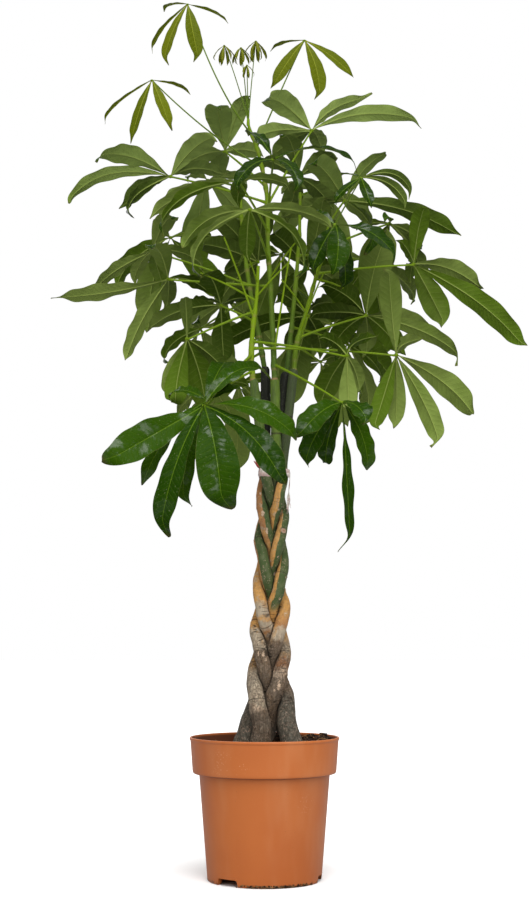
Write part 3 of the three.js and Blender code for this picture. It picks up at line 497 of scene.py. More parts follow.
soil = {
    "level": 180, "mound": 4, "edge": 99.6, "rings": 70, "spokes": 200, "bottom": 14,
    "sides": ((91, 150), (76, 14)),  # radius and height, under the edge
    "heaps": [((80, 30), 50, 14), ((17, 13), 17, 15)],  # middle, reach and height
    "lumps": ((0.09, 3.1, 2.2), (0.31, 7.7, 1.4)),  # how close together, which ones, and how high
    "crumbs": 900, "crumbSize": (0.8, 2.6), "clods": 0.1, "clodSize": (2.6, 4.2), "crumbReach": 0.985,
    "paleCrumbs": 0.07, "paleTone": 0.9, "plainTone": (0, 0.35), "rootTone": (0.6, 1), "sunk": 0.25,
    "chip": ((0.6, 1.5), (0.5, 1), (0.3, 0.8)),  # ranges of a chip's three sides
    "chipWear": (0.55, 1.1), "chipSpin": 6.3, "chipTilt": 0.9,
    "roots": 42, "rootsOnHeap": 0.7, "heapSide": (0.45, 0.5), "rootReach": (60, 93), "rootRadii": (0.55, 0.2),
    "rootLength": (14, 34), "rootLift": (1, 9), "rootRise": 5, "rootSpread": 0.7, "rootBend": 6,
    "rootEdge": 97, "wholeTurn": 6.283,
    "dark": (0.009, 0.0052, 0.0035), "brown": (0.048, 0.022, 0.011), "straw": (0.33, 0.19, 0.08),
}


def soilHeight(x, y):  # a low mound with broad lumps, fine lumps and heaps
    out = math.hypot(x, y) / soil["edge"]
    waves = math.sin(x * 0.13 + 1.7) * math.cos(y * 0.17 - 0.6) + 0.6 * math.sin(x * 0.31 - y * 0.23)
    level = soil["level"] + soil["mound"] * (1 - out) + 1.1 * waves
    lumps = [noise.noise(Vector((x * near, y * near, seed))) * high for near, seed, high in soil["lumps"]]
    for (heapX, heapY), size, high in soil["heaps"]:
        far = math.hypot(x - heapX, y - heapY) / size
        level += high * max(0, 1 - far * far) ** 1.5
    return level + sum(lumps)


def soilFinish():
    f = Finish("potting_mix")
    at = f.place()
    kind = f.mark("crumb")[0]
    clod = f.clouds(at, 160, 5, 0.7)
    fibre = f.patches(f.stretched(at, (900, 90, 500)), 1, 0.60, 0.68)
    colour = f.layered(
        soil["dark"],
        (f.step(clod, 0.42, 0.66), soil["brown"]),
        (fibre * 0.5, soil["straw"]),
        (f.step(kind, 0.35, 0.95), soil["straw"]),
    )
    height = clod + f.clouds(at, 700, 3, 0.6) * 0.5
    return f.surface(colour, 0.78 + clod * 0.2, f.bump(height, 0.0022, 0.8), Specular_IOR_Level=0.16)


def crumb(rng, size):  # an eight-cornered chip
    corners = np.array([(x, y, z) for x in (-1, 1) for y in (-1, 1) for z in (-1, 1)], float)
    corners *= [rng.uniform(*side) for side in soil["chip"]]
    corners *= [[rng.uniform(*soil["chipWear"])] for _ in corners]
    spin, tilt = rng.uniform(0, soil["chipSpin"]), rng.uniform(-soil["chipTilt"], soil["chipTilt"])
    faces = [(0, 1, 3, 2), (4, 6, 7, 5), (0, 4, 5, 1), (2, 3, 7, 6), (0, 2, 6, 4), (1, 5, 7, 3)]
    return corners @ (turning(spin, 2) @ turning(tilt, 0)).T * size, faces


def addBed(shape):
    rings, spokes = soil["rings"], soil["spokes"]
    angles = [2 * math.pi * i / spokes for i in range(spokes)]
    points = [(0, 0, soilHeight(0, 0))]
    for k in range(1, rings + 1):
        for a in angles:
            x, y = soil["edge"] * k / rings * math.cos(a), soil["edge"] * k / rings * math.sin(a)
            points.append((x, y, soilHeight(x, y)))
    for radius, height in soil["sides"]:
        points += [(radius * math.cos(a), radius * math.sin(a), height) for a in angles]
    points.append((0, 0, soil["bottom"]))
    low = 1 + (rings + 1) * spokes
    faces = []
    for i in range(spokes):
        j = (i + 1) % spokes
        faces.append((0, 1 + i, 1 + j))
        for k in range(rings + 1):
            a, b = 1 + k * spokes + i, 1 + k * spokes + j
            faces.append((a, a + spokes, b + spokes, b))
        faces.append((low + j, low + i, len(points) - 1))
    shape.add(points, faces)


def addCrumb(shape, rng):
    reach = soil["edge"] * math.sqrt(rng.random()) * soil["crumbReach"]
    a = rng.uniform(0, soil["wholeTurn"])
    x, y = reach * math.cos(a), reach * math.sin(a)
    size = rng.uniform(*soil["crumbSize" if rng.random() < 1 - soil["clods"] else "clodSize"])
    points, faces = crumb(rng, size)
    pale = soil["paleTone"] if rng.random() < soil["paleCrumbs"] else rng.uniform(*soil["plainTone"])
    shape.add(points + [x, y, soilHeight(x, y) + size * soil["sunk"]], faces, crumb=(pale, 0, 0))


def addRoot(shape, rng):  # a dry root or a straw, most of them on the heap at the side
    s = soil
    a = rng.gauss(*s["heapSide"]) if rng.random() < s["rootsOnHeap"] else rng.uniform(0, s["wholeTurn"])
    reach = rng.uniform(*s["rootReach"])
    x, y = reach * math.cos(a), reach * math.sin(a)
    length, lift = rng.uniform(*s["rootLength"]), rng.uniform(*s["rootLift"])
    turn = rng.uniform(0, s["wholeTurn"])
    start = np.array([x, y, soilHeight(x, y) - 1])
    run = length * s["rootSpread"]
    end = start + [run * math.cos(turn), run * math.sin(turn), rng.uniform(0, s["rootRise"])]
    end[:2] *= min(1, s["rootEdge"] / np.hypot(end[0], end[1]))  # it stays inside the wall
    bend = [rng.uniform(-s["rootBend"], s["rootBend"]) for _ in range(2)]
    t = np.linspace(0, 1, 14)
    line = bezier(start, (start + end) / 2 + [*bend, lift], end, t)
    root = tube(line, np.interp(t, [0, 1], s["rootRadii"]), 5)
    shape.add(*root, crumb=(rng.uniform(*s["rootTone"]), 0, 0))


def buildSoil():
    rng = random.Random(11)
    shape = Shape()
    addBed(shape)
    for _ in range(soil["crumbs"]):
        addCrumb(shape, rng)
    for _ in range(soil["roots"]):
        addRoot(shape, rng)
    shape.piece("soil_bed", [soilFinish()], ["soil"], sharp=60)


def buildFootCrumbs():  # potting mix that sticks along the pot's foot
    rng = random.Random(23)
    shape = Shape()
    for _ in range(pot["crumbs"]):
        a = math.radians(rng.triangular(*pot["crumbArc"]))
        size = rng.uniform(*pot["crumbSize"])
        reach = pot["base"] + rng.uniform(*pot["crumbsOut"])
        points, faces = crumb(rng, size)
        height = size + rng.uniform(0, pot["crumbsUp"]) ** 2
        points = points + [reach * math.sin(a), -reach * math.cos(a), height]
        shape.add(points, faces, crumb=(rng.choice(pot["crumbTones"]), 0, 0))
    shape.piece("foot_crumbs", [soilFinish()], sharp=60)


buildSoil()
buildFootCrumbs()
print("soil built")


# Trunks and the tie round them

trunk = {
    "radii": [[120, 13.5], [180, 15], [205, 13.4], [240, 11.4], [300, 9.4], [430, 7.9], [566, 7.1],
              [600, 6.9]],
    "plaitTop": 577, "sides": 36, "step": 2.0, "grow": 0.30,
    "pressed": 0.94,  # living trunks lie pressed together
    "flare": 0.3, "flareFrom": 236, "flareTo": 200,
    "lean": 4.4, "leanFrom": 252, "leanTo": 186,  # the feet stand a little to the right
    "tops": [((-16, -14, 700), 6.2), ((1, 7, 722), 6.4), ((15, -13, 700), 6.6), ((31, 8, 714), 6.4),
             ((42, -8, 716), 6.0)],
    "topShares": (0.33, 0.68, 1), "cutEdge": 5, "cutRound": 0.30,
    "nodes": [[245, 420, 500, 640], [517, 400, 344, 652], [283, 372, 470, 620], [352, 398, 262, 634],
              [522, 455, 350, 268, 646]],  # heights of the rings where old leaves grew
    "ring": (2.4, 0.65), "groove": (0.9, 0.5), "grooveAbove": 1.4,  # reach, and height or depth
    # topColours: each trunk's colour from the top of the plait up; shadowBlack is painted shade over dark
    # bark
    "topColours": ("fresh", "shadowBlack", "stem", "shadowBlack", "grey"), "crease": 3.0,
}
bark = {
    "soil": (0.122, 0.084, 0.052), "brown": (0.215, 0.148, 0.092), "silver": (0.47, 0.385, 0.275),
    "slate": (0.104, 0.094, 0.070), "cream": (0.58, 0.42, 0.29), "tan": (0.44, 0.255, 0.100),
    "orange": (0.62, 0.325, 0.092), "rust": (0.27, 0.125, 0.055), "flake": (0.31, 0.235, 0.170),
    "copper": (0.44, 0.21, 0.078), "green": (0.058, 0.090, 0.024), "mossy": (0.115, 0.138, 0.058),
    "grey": (0.055, 0.072, 0.030), "fresh": (0.085, 0.140, 0.022), "stem": (0.095, 0.155, 0.016),
    "shadowBlack": (0.010, 0.011, 0.006), "crack": (0.027, 0.017, 0.009), "pink": (0.44, 0.29, 0.21),
    # dark: the painted shade where two trunks meet
    "ash": (0.150, 0.132, 0.104), "dark": (0.008, 0.006, 0.004), "streak": (0.62, 0.53, 0.45),
    # heights over which the look changes
    "rough": (315, 345), "worn": (240, 340), "glowing": (315, 350), "cracked": (210, 250),
    "whole": (360, 420), "top": (572, 600), "ramp": (160, 600),
    # the colours up each trunk, by height
    "bands": [
        [(205, "soil"), (232, "brown"), (235, "cream"), (240, "silver"), (286, "silver"), (294, "tan"),
         (330, "orange"), (470, "orange"), (560, "tan")],
        [(200, "slate"), (244, "slate"), (262, "brown"), (326, "brown"), (330, "silver"), (344, "silver"),
         (349, "copper"), (372, "orange"), (440, "orange"), (470, "copper"), (560, "copper")],
        [(200, "soil"), (230, "brown"), (279, "brown"), (282, "cream"), (287, "cream"), (291, "rust"),
         (302, "rust"), (309, "tan"), (318, "silver"), (342, "orange"), (440, "copper"), (560, "tan")],
        [(200, "soil"), (240, "brown"), (314, "brown"), (317, "silver"), (343, "silver"), (348, "orange"),
         (450, "orange"), (560, "tan")],
        [(200, "slate"), (244, "slate"), (262, "brown"), (334, "brown"), (339, "copper"), (346, "silver"),
         (356, "silver"), (360, "orange"), (364, "silver"), (376, "silver"), (383, "orange"),
         (560, "orange")],
    ],
    # where the skin is green: from which height, how far round from the left, and where it is all green
    "greenFrom": (372, 430, 366, 396, 470), "greenSide": (-0.15, 0.22, -0.55, 0.10, 0.30),
    "allGreen": (505, 900, 900, 900, 900),
    "spotSize": 0.72,  # of the radii below
    # scars and flecks: height, degrees round from the front, radius, how much taller than wide, kind
    "spots": [
        [(388, 35, 2.4, 1.5, "fleck"), (229, 8, 2.2, 1, "wart"), (227, -14, 1.6, 1, "fleck"),
         (418, 50, 1.4, 2, "fleck")],
        [(300, -12, 3.4, 1, "wart"), (309, 16, 3.0, 1, "wart"), (324, 8, 3.2, 1, "wart"),
         (292, 6, 2.8, 1, "wart"), (507, -8, 2.4, 3.2, "fleck"), (481, 0, 2.8, 3.6, "fleck"),
         (536, -10, 1.6, 2, "fleck"), (366, 20, 3.4, 0.5, "fleck")],
        [(268, 5, 3.4, 2.4, "fleck"), (261, -12, 2.4, 1.5, "fleck"), (428, 5, 2.4, 1.4, "wart"),
         (412, -8, 1.8, 2, "wart"), (455, 10, 1.6, 1.4, "wart"), (396, 12, 2.0, 2.2, "wart")],
        [(309, 18, 2.8, 1.6, "fleck"), (302, 34, 3.0, 1.4, "fleck"), (310, -22, 1.6, 4, "fleck"),
         (284, 4, 1.9, 1.5, "wart"), (423, 38, 2.3, 1.8, "fleck"), (446, 30, 2.1, 1.5, "fleck"),
         (483, 16, 7.4, 1, "scar"), (272, 25, 1.5, 1, "wart")],
        [(219, 20, 1.9, 1, "fleck"), (398, 5, 2.6, 1.4, "wart"), (376, -14, 2.6, 1, "wart"),
         (513, 24, 1.6, 2, "fleck"), (490, 10, 1.4, 2.4, "wart")],
    ],
    "kinds": {  # rim colour, heart colour, how dark the edge round it, how far it stands up
        "fleck": ("cream", "cream", 0.25, 0.25), "wart": ("flake", "pink", 0.45, 0.7),
        "scar": ("pink", "rust", 0.4, 0.9),
    },
}


def plaitMiddle(z):  # middle of the five trunks at a height
    return np.mean([atHeight(line, z) for line in plait], axis=0)[:2].T


def trunkCentres(k):  # middles of the rings in the frame's trunk
    points = nodePoints(f"trunk_{k + 1}")
    points = points[points[:, 2] < trunk["plaitTop"]]
    heights = np.unique(np.round(points[:, 2], 1))
    rings = [points[abs(points[:, 2] - z) < 0.12].mean(0) for z in heights]
    merged = [rings[0]]
    for ring in rings[1:]:
        if ring[2] - merged[-1][2] > 3:
            merged.append(ring)
    return np.array(merged)


def bandColour(f, k, z):  # the colours up a trunk
    low, high = inMetres(bark["ramp"])
    stops = [((height * mm - low) / (high - low), bark[name]) for height, name in bark["bands"][k]]
    return f.ramp((z - low) / (high - low), stops)


def scarred(f, colour, at, spots, ragged):  # scars, warts and flecks with uneven edges
    for point, radius, tall, kind in spots:
        rim, heart, dark, _ = bark["kinds"][kind]
        off = f.far(at, point, tall) / (radius * bark["spotSize"])
        off = off + ragged * (0.8 if kind == "scar" else 4.2) + 0.1
        layers = ((1.0, 1.5, dark, "crack"), (0.70, 1.0, 0.9, rim), (0.42, 0.56, 0.9, heart))
        for low, high, share, name in layers:
            colour = f.mix(f.fade(off, low, high) * share, colour, bark[name])
    return colour


def barkFinish(k, spots):
    b = bark
    f = Finish(f"bark_{k + 1}")
    at = f.place()
    around, height, ring = f.mark("bark")
    own = f.moved(at, (k * 3.7, k * 3.7, 0))
    wander, grit = f.clouds(own, 60, 4, 0.65), f.clouds(own, 340, 5, 0.8)
    streaks = f.clouds(f.stretched(own, (230, 230, 24)), 1, 4, 0.65)
    z = height + (wander - 0.5) * 0.032
    high = f.step(z, *inMetres(b["rough"]))  # the bark is smoother from there up
    worn = f.patches(own, 64, 0.55, 0.61, 4, 0.7) * f.step(z, *inMetres(b["worn"]))
    glowing = f.patches(own, 46, 0.54, 0.62, 4, 0.7) * f.step(z, *inMetres(b["glowing"]))
    crumbs = f.fade(f.cells(own, 290) + (grit - 0.5) * 0.8, 0.14, 0.38) * f.patches(own, 120, 0.44, 0.56)
    flakes = f.patches(f.stretched(own, (300, 300, 170)), 1, 0.52, 0.58, 5, 0.8)
    plates = f.cells(f.stretched(own, (210, 210, 80)), 1, "DISTANCE_TO_EDGE")
    fissures = f.fade(plates + (grit - 0.5) * 0.5, 0.0, 0.10)
    old = f.mix(f.step(streaks, 0.44, 0.58) * 0.40, bandColour(f, k, z), b["streak"], "MULTIPLY")
    old = f.layered(
        old,
        (f.patches(own, 85, 0.56, 0.64, 4, 0.7) * high * 0.55, b["rust"]),
        (worn * 0.55, b["silver"]),
        (glowing * 0.65, b["orange"]),
        (f.step(grit, 0.50, 0.60) * (1 - high * 0.72) * 0.70, b["crack"]),
        (crumbs * (1 - high * 0.6) * 0.70, b["pink"]),
        (f.patches(own, 30, 0.46, 0.62) * (1 - high) * 0.35, b["ash"]),
        (flakes * (1 - high * 0.7) * 0.60, b["flake"]),
        (fissures * (1 - high * 0.85) * 0.27, b["crack"]),
    )
    fresh = f.mix(f.patches(own, 90, 0.42, 0.66, 3, 0.6) * 0.75, b["green"], b["mossy"])
    fresh = f.mix(crumbs * 0.35, fresh, b["cream"])
    side = around + (f.clouds(f.stretched(own, (90, 90, 30)), 1, 4, 0.6) - 0.5) * 0.9
    start, whole = inMetres((b["greenFrom"][k], b["allGreen"][k]))
    side = side - b["greenSide"][k] + f.step(height, whole, whole + 0.012) * 3
    young = f.step(side, -0.05, 0.05) * f.step(z, start - 0.008, start + 0.008)
    colour = f.mix(young, old, fresh)
    cracked = f.patches(own, 48, 0.50, 0.60, 2) * f.step(z, *inMetres(b["cracked"]))
    cracked = cracked * f.fade(z, *inMetres(b["whole"]))
    lines = f.fade(f.cells(f.stretched(own, (30, 30, 190)), 1, "DISTANCE_TO_EDGE"), 0.02, 0.09) * cracked
    colour = scarred(f, f.mix(lines * 0.85, colour, b["crack"]), at, spots, grit + wander - 1)
    top = trunk["topColours"][k]
    # the near-black tops are painted shade
    above = f.mix(f.step(streaks, 0.46, 0.60) * 0.6, b[top], b["shadowBlack" if top == "shadowBlack" else "green"])
    above = f.mix(crumbs * 0.25, above, b["mossy"])
    colour = f.mix(f.step(height + (wander - 0.5) * 0.02, *inMetres(b["top"])), colour, above)
    colour = f.mix(f.step(ring, 0.35, 0.9) * 0.75, colour, b["crack"])
    colour = f.mix(f.mark("crease")[0] * 0.93, colour, b["dark"])  # painted shade where two trunks meet
    relief = streaks * 0.4 + grit * (0.75 - high * 0.45) - lines * 0.8 + worn * 0.2 + crumbs * 0.4
    relief = relief + (flakes * 0.5 - fissures * 0.9) * (1 - high * 0.7)
    rough = 0.66 + streaks * 0.2 - young * 0.14
    return f.surface(colour, rough, f.bump(relief, 0.0012, 0.8), Specular_IOR_Level=0.28)


plait = []


def barkSpots(k, centres, radii):  # each scar's middle on the skin of the trunk
    rng = random.Random(40 + k)
    places = []
    for height, angle, radius, tall, kind in bark["spots"][k]:
        for part in range(2 if kind == "wart" else 1):
            size = radius * (rng.uniform(0.45, 0.7) if kind == "wart" else 1)
            a = math.radians(angle + rng.uniform(-12, 12) * part)
            ring = int(np.argmin(abs(centres[:, 2] - height - rng.uniform(-3.5, 3.5) * part)))
            out = np.array([math.sin(a), -math.cos(a), 0])
            places.append((centres[ring] + out * radii[ring], size, tall, kind))
    return places


def trunkLine(k):  # centres and radii up one trunk
    t = trunk
    top, topRadius = t["tops"][k]
    low = plait[k].copy()
    middle = plaitMiddle(low[:, 2])
    low[:, :2] = middle + (low[:, :2] - middle) * t["pressed"]
    low[:, 0] += t["lean"] * (1 - smooth(low[:, 2], t["leanTo"], t["leanFrom"]))
    share = np.array(t["topShares"])[:, None]
    route = np.concatenate([low, low[-1] + (np.array(top) - low[-1]) * share])
    count = int((top[2] - low[0][2]) / t["step"])
    centres = throughPoints(route, np.linspace(0, 1, count))
    z = centres[:, 2]
    lastPlaited = readOff(t["radii"], low[-1][2])
    upper = np.interp(z, [low[-1][2], top[2]], [lastPlaited, topRadius])
    radii = np.where(z > low[-1][2], upper, readOff(t["radii"], z)) + t["grow"]
    radii = radii + t["flare"] * (1 - smooth(z, t["flareTo"], t["flareFrom"]))
    return centres, radii * (1 - t["cutRound"] * smooth(z, top[2] - t["cutEdge"], top[2]) ** 2)


def contactShading(points, others):  # 1 where the skin lies against another trunk, where shade is painted
    nearest = np.full(len(points), 1e3)
    for centres, radii in others:
        tree = treeOf(centres)
        gaps = [(far - radii[i]) for _, i, far in (tree.find(Vector(p)) for p in points)]
        nearest = np.minimum(nearest, gaps)
    return 1 - smooth(nearest, 0, trunk["crease"])


def nodeRings(k, z):  # how far the rings of old leaves stand out, and how much of a scar each height is
    reach, tall = trunk["ring"]
    width, deep = trunk["groove"]
    bumps, scar = np.zeros(len(z)), np.zeros(len(z))
    for height in trunk["nodes"][k]:
        groove = bell(z, height + trunk["grooveAbove"], width)
        bumps += bell(z, height, reach) * tall - groove * deep
        scar = np.maximum(scar, groove)
    return bumps, scar


def barkRelief(k, bumps, radii, spots):  # lumps, rings and scars, as a tube asks for them
    def relief(centre, out, ring):
        values = []
        for direction in out:
            spot = Vector(centre * 0.035 + direction * 0.5 + k * 5.1)
            fine = Vector((direction[0] * 1.6 + k, direction[1] * 1.6, centre[2] * 0.11))
            value = noise.noise(spot) * 0.6 + noise.noise(fine) * 0.4
            here = centre + direction * radii[ring]
            for point, radius, tall, kind in spots:
                if abs(here[2] - point[2]) < 2 * radius * tall:
                    off = np.linalg.norm((here - point) / [1, 1, tall]) / radius
                    value += bark["kinds"][kind][3] * math.exp(-off ** 4)
            values.append(value)
        return np.array(values) + bumps[ring]
    return relief


def buildTrunks():
    sides, count = trunk["sides"], len(trunk["tops"])
    plait.extend(trunkCentres(k) for k in range(count))
    lines = [trunkLine(k) for k in range(count)]
    for k, (centres, radii) in enumerate(lines):
        bumps, scar = nodeRings(k, centres[:, 2])
        spots = barkSpots(k, centres, radii)
        points, faces = tube(centres, radii, sides, barkRelief(k, bumps, radii, spots))
        rings = ringsOf(len(radii), sides)
        around = (points - centres[rings]) / radii[rings][:, None]
        marks = np.stack([around[:, 0] * 0.9 - around[:, 1] * 0.2, points[:, 2] * mm, scar[rings]], 1)
        # painted shade where the skin lies against another trunk
        crease = contactShading(points, lines[:k] + lines[k + 1:])
        shape = Shape()
        shape.add(points, faces, bark=marks, crease=crease[:, None])
        name = f"trunk_{k + 1}"
        shape.piece(f"bark_{name}", [barkFinish(k, spots)], [name], sharp=60)


buildTrunks()
print("trunks built")


tie = {
    "middle": 566, "gap": 0.9, "thickness": 0.45, "around": 160, "rows": 7,
    # rise, height, distance out and tilt of each turn
    "turns": [(-2.4, 6.5, 0.0, 0.5), (1.9, 6.5, 0.45, -0.8), (-0.2, 5.0, 0.9, 1.6)],
    "tail": ((-4, 566), (-6, 514)), "tailOut": -3.4, "tailWidth": 4.4,
    "tailColumns": (-0.5, -0.25, 0, 0.25, 0.5),
    "threads": 18, "threadRadius": 0.28, "threadRows": (-8, -5, -2),
    "pale": (0.74, 0.66, 0.60), "pink": (0.56, 0.33, 0.30), "worn": (0.50, 0.50, 0.36),
}


def tapeFinish():
    f = Finish("soft_tape")
    at = f.place()
    stain, wear = f.patches(at, 75, 0.45, 0.62) * 0.75, f.patches(at, 130, 0.56, 0.70) * 0.6
    colour = f.layered(tie["pale"], (stain, tie["pink"]), (wear, tie["worn"]))
    inputs = {"Vector": at, "Scale": 330, "Distortion": 2.5, "Detail": 2}
    weave = f.node("TexWave", {"bands_direction": "Z"}, inputs)
    fuzz = f.clouds(at, 1400, 2)
    normal = f.bump(weave * 0.6 + fuzz * 0.6, 0.0006, 0.8)
    return f.surface(colour, 0.88 + fuzz * 0.1, normal, Sheen_Weight=0.25)


def tieLine():  # directions round the tie, and the tight line round the five trunks
    angles = np.arange(tie["around"]) * 2 * math.pi / tie["around"]
    normals = np.stack([np.cos(angles), np.sin(angles)], 1)
    tangents = np.stack([-normals[:, 1], normals[:, 0]], 1)
    places = np.array([atHeight(line, tie["middle"])[:2] for line in plait])
    middle = places.mean(0)
    radius = readOff(trunk["radii"], tie["middle"]) + trunk["grow"]
    support = np.max([normals @ (place - middle) + radius for place in places], axis=0)
    slope = (np.roll(support, -1) - np.roll(support, 1)) / (2 * angles[1])
    return angles, normals, middle + (normals * support[:, None] + tangents * slope[:, None])


def addTurn(shape, turn, angles, normals, line):  # one turn of the tape
    rise, height, out, tilt = tie["turns"][turn]
    rows, count = tie["rows"], len(angles)
    layers = []
    for face in (1, 0):
        for r in range(rows):
            share = r / (rows - 1) - 0.5
            wrinkle = np.array([noise.noise(Vector((a * 2.1, share * 2.2, turn * 3.0))) for a in angles * 2])
            reach = tie["gap"] + out + face * tie["thickness"] + wrinkle * 0.35 - abs(share) * 0.5
            drop = rise + height * share + tilt * np.sin(angles) + wrinkle * 0.5
            layers.append(np.column_stack([line + normals * reach[:, None], tie["middle"] + drop]))
    order = [*range(rows), *range(2 * rows - 1, rows - 1, -1)]
    faces = []
    for a, b in zip(order, order[1:] + order[:1]):
        for i in range(count):
            j = (i + 1) % count
            faces.append((a * count + i, a * count + j, b * count + j, b * count + i))
    shape.add(np.concatenate(layers), faces)


def addTail(shape, side):  # the loose end: a thin twist above, and open and frayed below
    (y0, z0), (y1, z1) = tie["tail"]
    t = np.linspace(0, 1, 22)
    x, y, z = side + tie["tailOut"] * t ** 1.4, y0 + (y1 - y0) * t + 0.8 * np.sin(5 * t), z0 + (z1 - z0) * t
    path = np.column_stack([x, y, z])
    spread = smooth(t, 0.45, 0.65)
    width = tie["tailWidth"] * (0.25 + 0.75 * spread)
    points = []
    for k, centre in enumerate(path):
        for across in tie["tailColumns"]:
            curl = 0.5 * math.sin(9 * t[k] + 3 * across) + across * width[k] * 0.7 * spread[k]
            points.append(centre + [curl, across * width[k], 0])
    faces = slab(len(path), len(tie["tailColumns"]))
    shape.add(np.concatenate([points, np.array(points) - [tie["thickness"], 0, 0]]), faces)
    rng = random.Random(5)
    for _ in range(tie["threads"]):
        start = path[rng.choice(tie["threadRows"])] + [rng.uniform(-1, 1.4), rng.uniform(-2, 2), 0]
        end = start + [rng.uniform(-1.5, 2.6), rng.uniform(-3, 2), rng.uniform(-10, -4)]
        bend = (start + end) / 2 + [rng.uniform(-2, 3), rng.uniform(-2, 2), 0]
        shape.add(*tube(bezier(start, bend, end, np.linspace(0, 1, 7)), np.full(7, tie["threadRadius"]), 5))


def buildTie():
    shape = Shape()
    angles, normals, line = tieLine()
    for turn in range(len(tie["turns"])):
        addTurn(shape, turn, angles, normals, line)
    addTail(shape, line[0][0] + tie["gap"] + 1)
    shape.piece("tie_tape", [tapeFinish()], ["tie"])


bud = {
    "trunk": 0, "height": 573, "towards": (-0.75, -0.66, 0), "tip": (-11, -3.5, 9), "bend": (-6, -2.5, 1.5),
    "radius": 2.5, "scales": ((0, 1), (7, 0.86), (-7, 0.78)),  # degrees to the side, and size
    "red": (0.30, 0.035, 0.030), "brown": (0.17, 0.085, 0.045), "fleck": (0.45, 0.16, 0.12),
}


def budFinish():
    f = Finish("bud_scales")
    scales = f.clouds(f.stretched(f.place(), (260, 260, 500)), 1, 3)
    tip = f.step(f.mark("bud")[0] + (scales - 0.5) * 0.4, 0.25, 0.5)
    fleck = f.step(scales, 0.52, 0.62) * 0.4
    colour = f.layered(bud["brown"], (tip, bud["red"]), (fleck, bud["fleck"]))
    return f.surface(colour, 0.5 + scales * 0.2, f.bump(scales, 0.0008, 0.7), Specular_IOR_Level=0.3)


def buildBud():
    root = atHeight(plait[bud["trunk"]], bud["height"])
    root = root + unit(bud["towards"]) * (readOff(trunk["radii"], bud["height"]) - 1)
    shape = Shape()
    t = np.linspace(0, 1, 14)
    for angle, share in bud["scales"]:
        swing = turning(math.radians(angle), 1)
        route = bezier(root, root + swing @ bud["bend"] * share, root + swing @ bud["tip"] * share, t)
        belly = 0.75 + 0.5 * np.sin(math.pi * np.minimum(1, t * 1.5))
        radii = bud["radius"] * share * (1.15 - t) ** 0.7 * belly
        shape.add(*tube(route, radii, 12), bud=t[ringsOf(len(t), 12)][:, None])
    shape.piece("bud", [budFinish()], ["trunk_1"], sharp=60)


buildTie()
buildBud()
print("tie built")


# Shoots that grew from the trunks above the tie

# bright: the share of bright green in a shoot's skin; the low shares on the leader and back shoots are partly
# painted shade
shoots = {
    "green": {"trunk": 1, "radius": (4.0, 2.6), "bright": 1.0,
              "route": [(-16, -14, 690), (-19, -16, 735), (-16, -14, 780), (-11, -10, 825), (-9, -6, 868)]},
    "leader": {"trunk": 3, "radius": (4.7, 2.3), "bright": 0.15,
               "route": [(15, -13, 690), (13, -10, 745), (9, -6, 830), (5, 0, 900), (4, 4, 970),
                         (-6, 6, 1030), (-24, 8, 1085)]},
    "right": {"trunk": 5, "radius": (4.0, 2.3), "bright": 0.45,
              "route": [(42, -8, 704), (46, -8, 750), (60, -4, 800), (74, 0, 850), (88, 2, 905)]},
    "backLeft": {"trunk": 2, "radius": (4.2, 2.3), "bright": 0.1,
                 "route": [(2, 6, 708), (-8, 22, 770), (-24, 42, 860), (-34, 56, 950), (-36, 62, 1010)]},
    "backRight": {"trunk": 4, "radius": (4.2, 2.3), "bright": 0.1,
                  "route": [(31, 8, 700), (38, 26, 770), (46, 48, 850), (52, 62, 930), (54, 70, 1000)]},
}
skin = {
    "dull": (0.040, 0.078, 0.016), "bright": (0.170, 0.265, 0.007), "scar": (0.26, 0.17, 0.085),
    "line": (0.9, 1.0, 0.7), "patch": (0.06, 0.09, 0.02), "speck": (0.35, 0.36, 0.20),
    "sides": 18, "step": 3.0, "slim": 0.95, "stalkRise": 0.06,
}


def skinFinish(name):
    f = Finish(name)
    at = f.place()
    bright, scar, speck = f.mark("skin")
    lines = f.clouds(f.stretched(at, (420, 420, 30)), 1, 3)
    dots = f.fade(f.cells(f.stretched(at, (420, 420, 200)), 1), 0.08, 0.2)
    colour = f.mix(bright, skin["dull"], skin["bright"])
    colour = f.mix(f.step(lines, 0.45, 0.75) * 0.35, colour, skin["line"], "MULTIPLY")
    colour = f.layered(colour, (f.patches(at, 60, 0.5, 0.8) * 0.4, skin["patch"]),
                       (dots * speck * 0.6, skin["speck"]), (scar, skin["scar"]))
    return f.surface(colour, 0.46 + lines * 0.15 + scar * 0.3, f.bump(lines + scar, 0.0006, 0.5),
                     Specular_IOR_Level=0.16, Specular_Tint=(0.85, 1.0, 0.5, 1))


# leaf stalks that cross inside the canopy: shoot, height there, end, radius
stalks = [
    ("green", 788, (-58, -40, 902), 1.5), ("green", 815, (-92, -30, 852), 1.4),
    ("leader", 735, (38, -50, 884), 1.5), ("green", 822, (36, -30, 868), 1.3),
    ("right", 850, (112, -40, 828), 1.4), ("right", 800, (24, -48, 838), 1.3),
    ("green", 842, (-30, -60, 886), 1.2), ("right", 770, (84, -60, 846), 1.3),
    ("leader", 850, (52, -70, 896), 1.2),
]

petioleRoots = {}  # heights at which each shoot carries a frond


def shootPoint(name, z):
    return atHeight(throughPoints(shoots[name]["route"], np.linspace(0, 1, 600)), z)


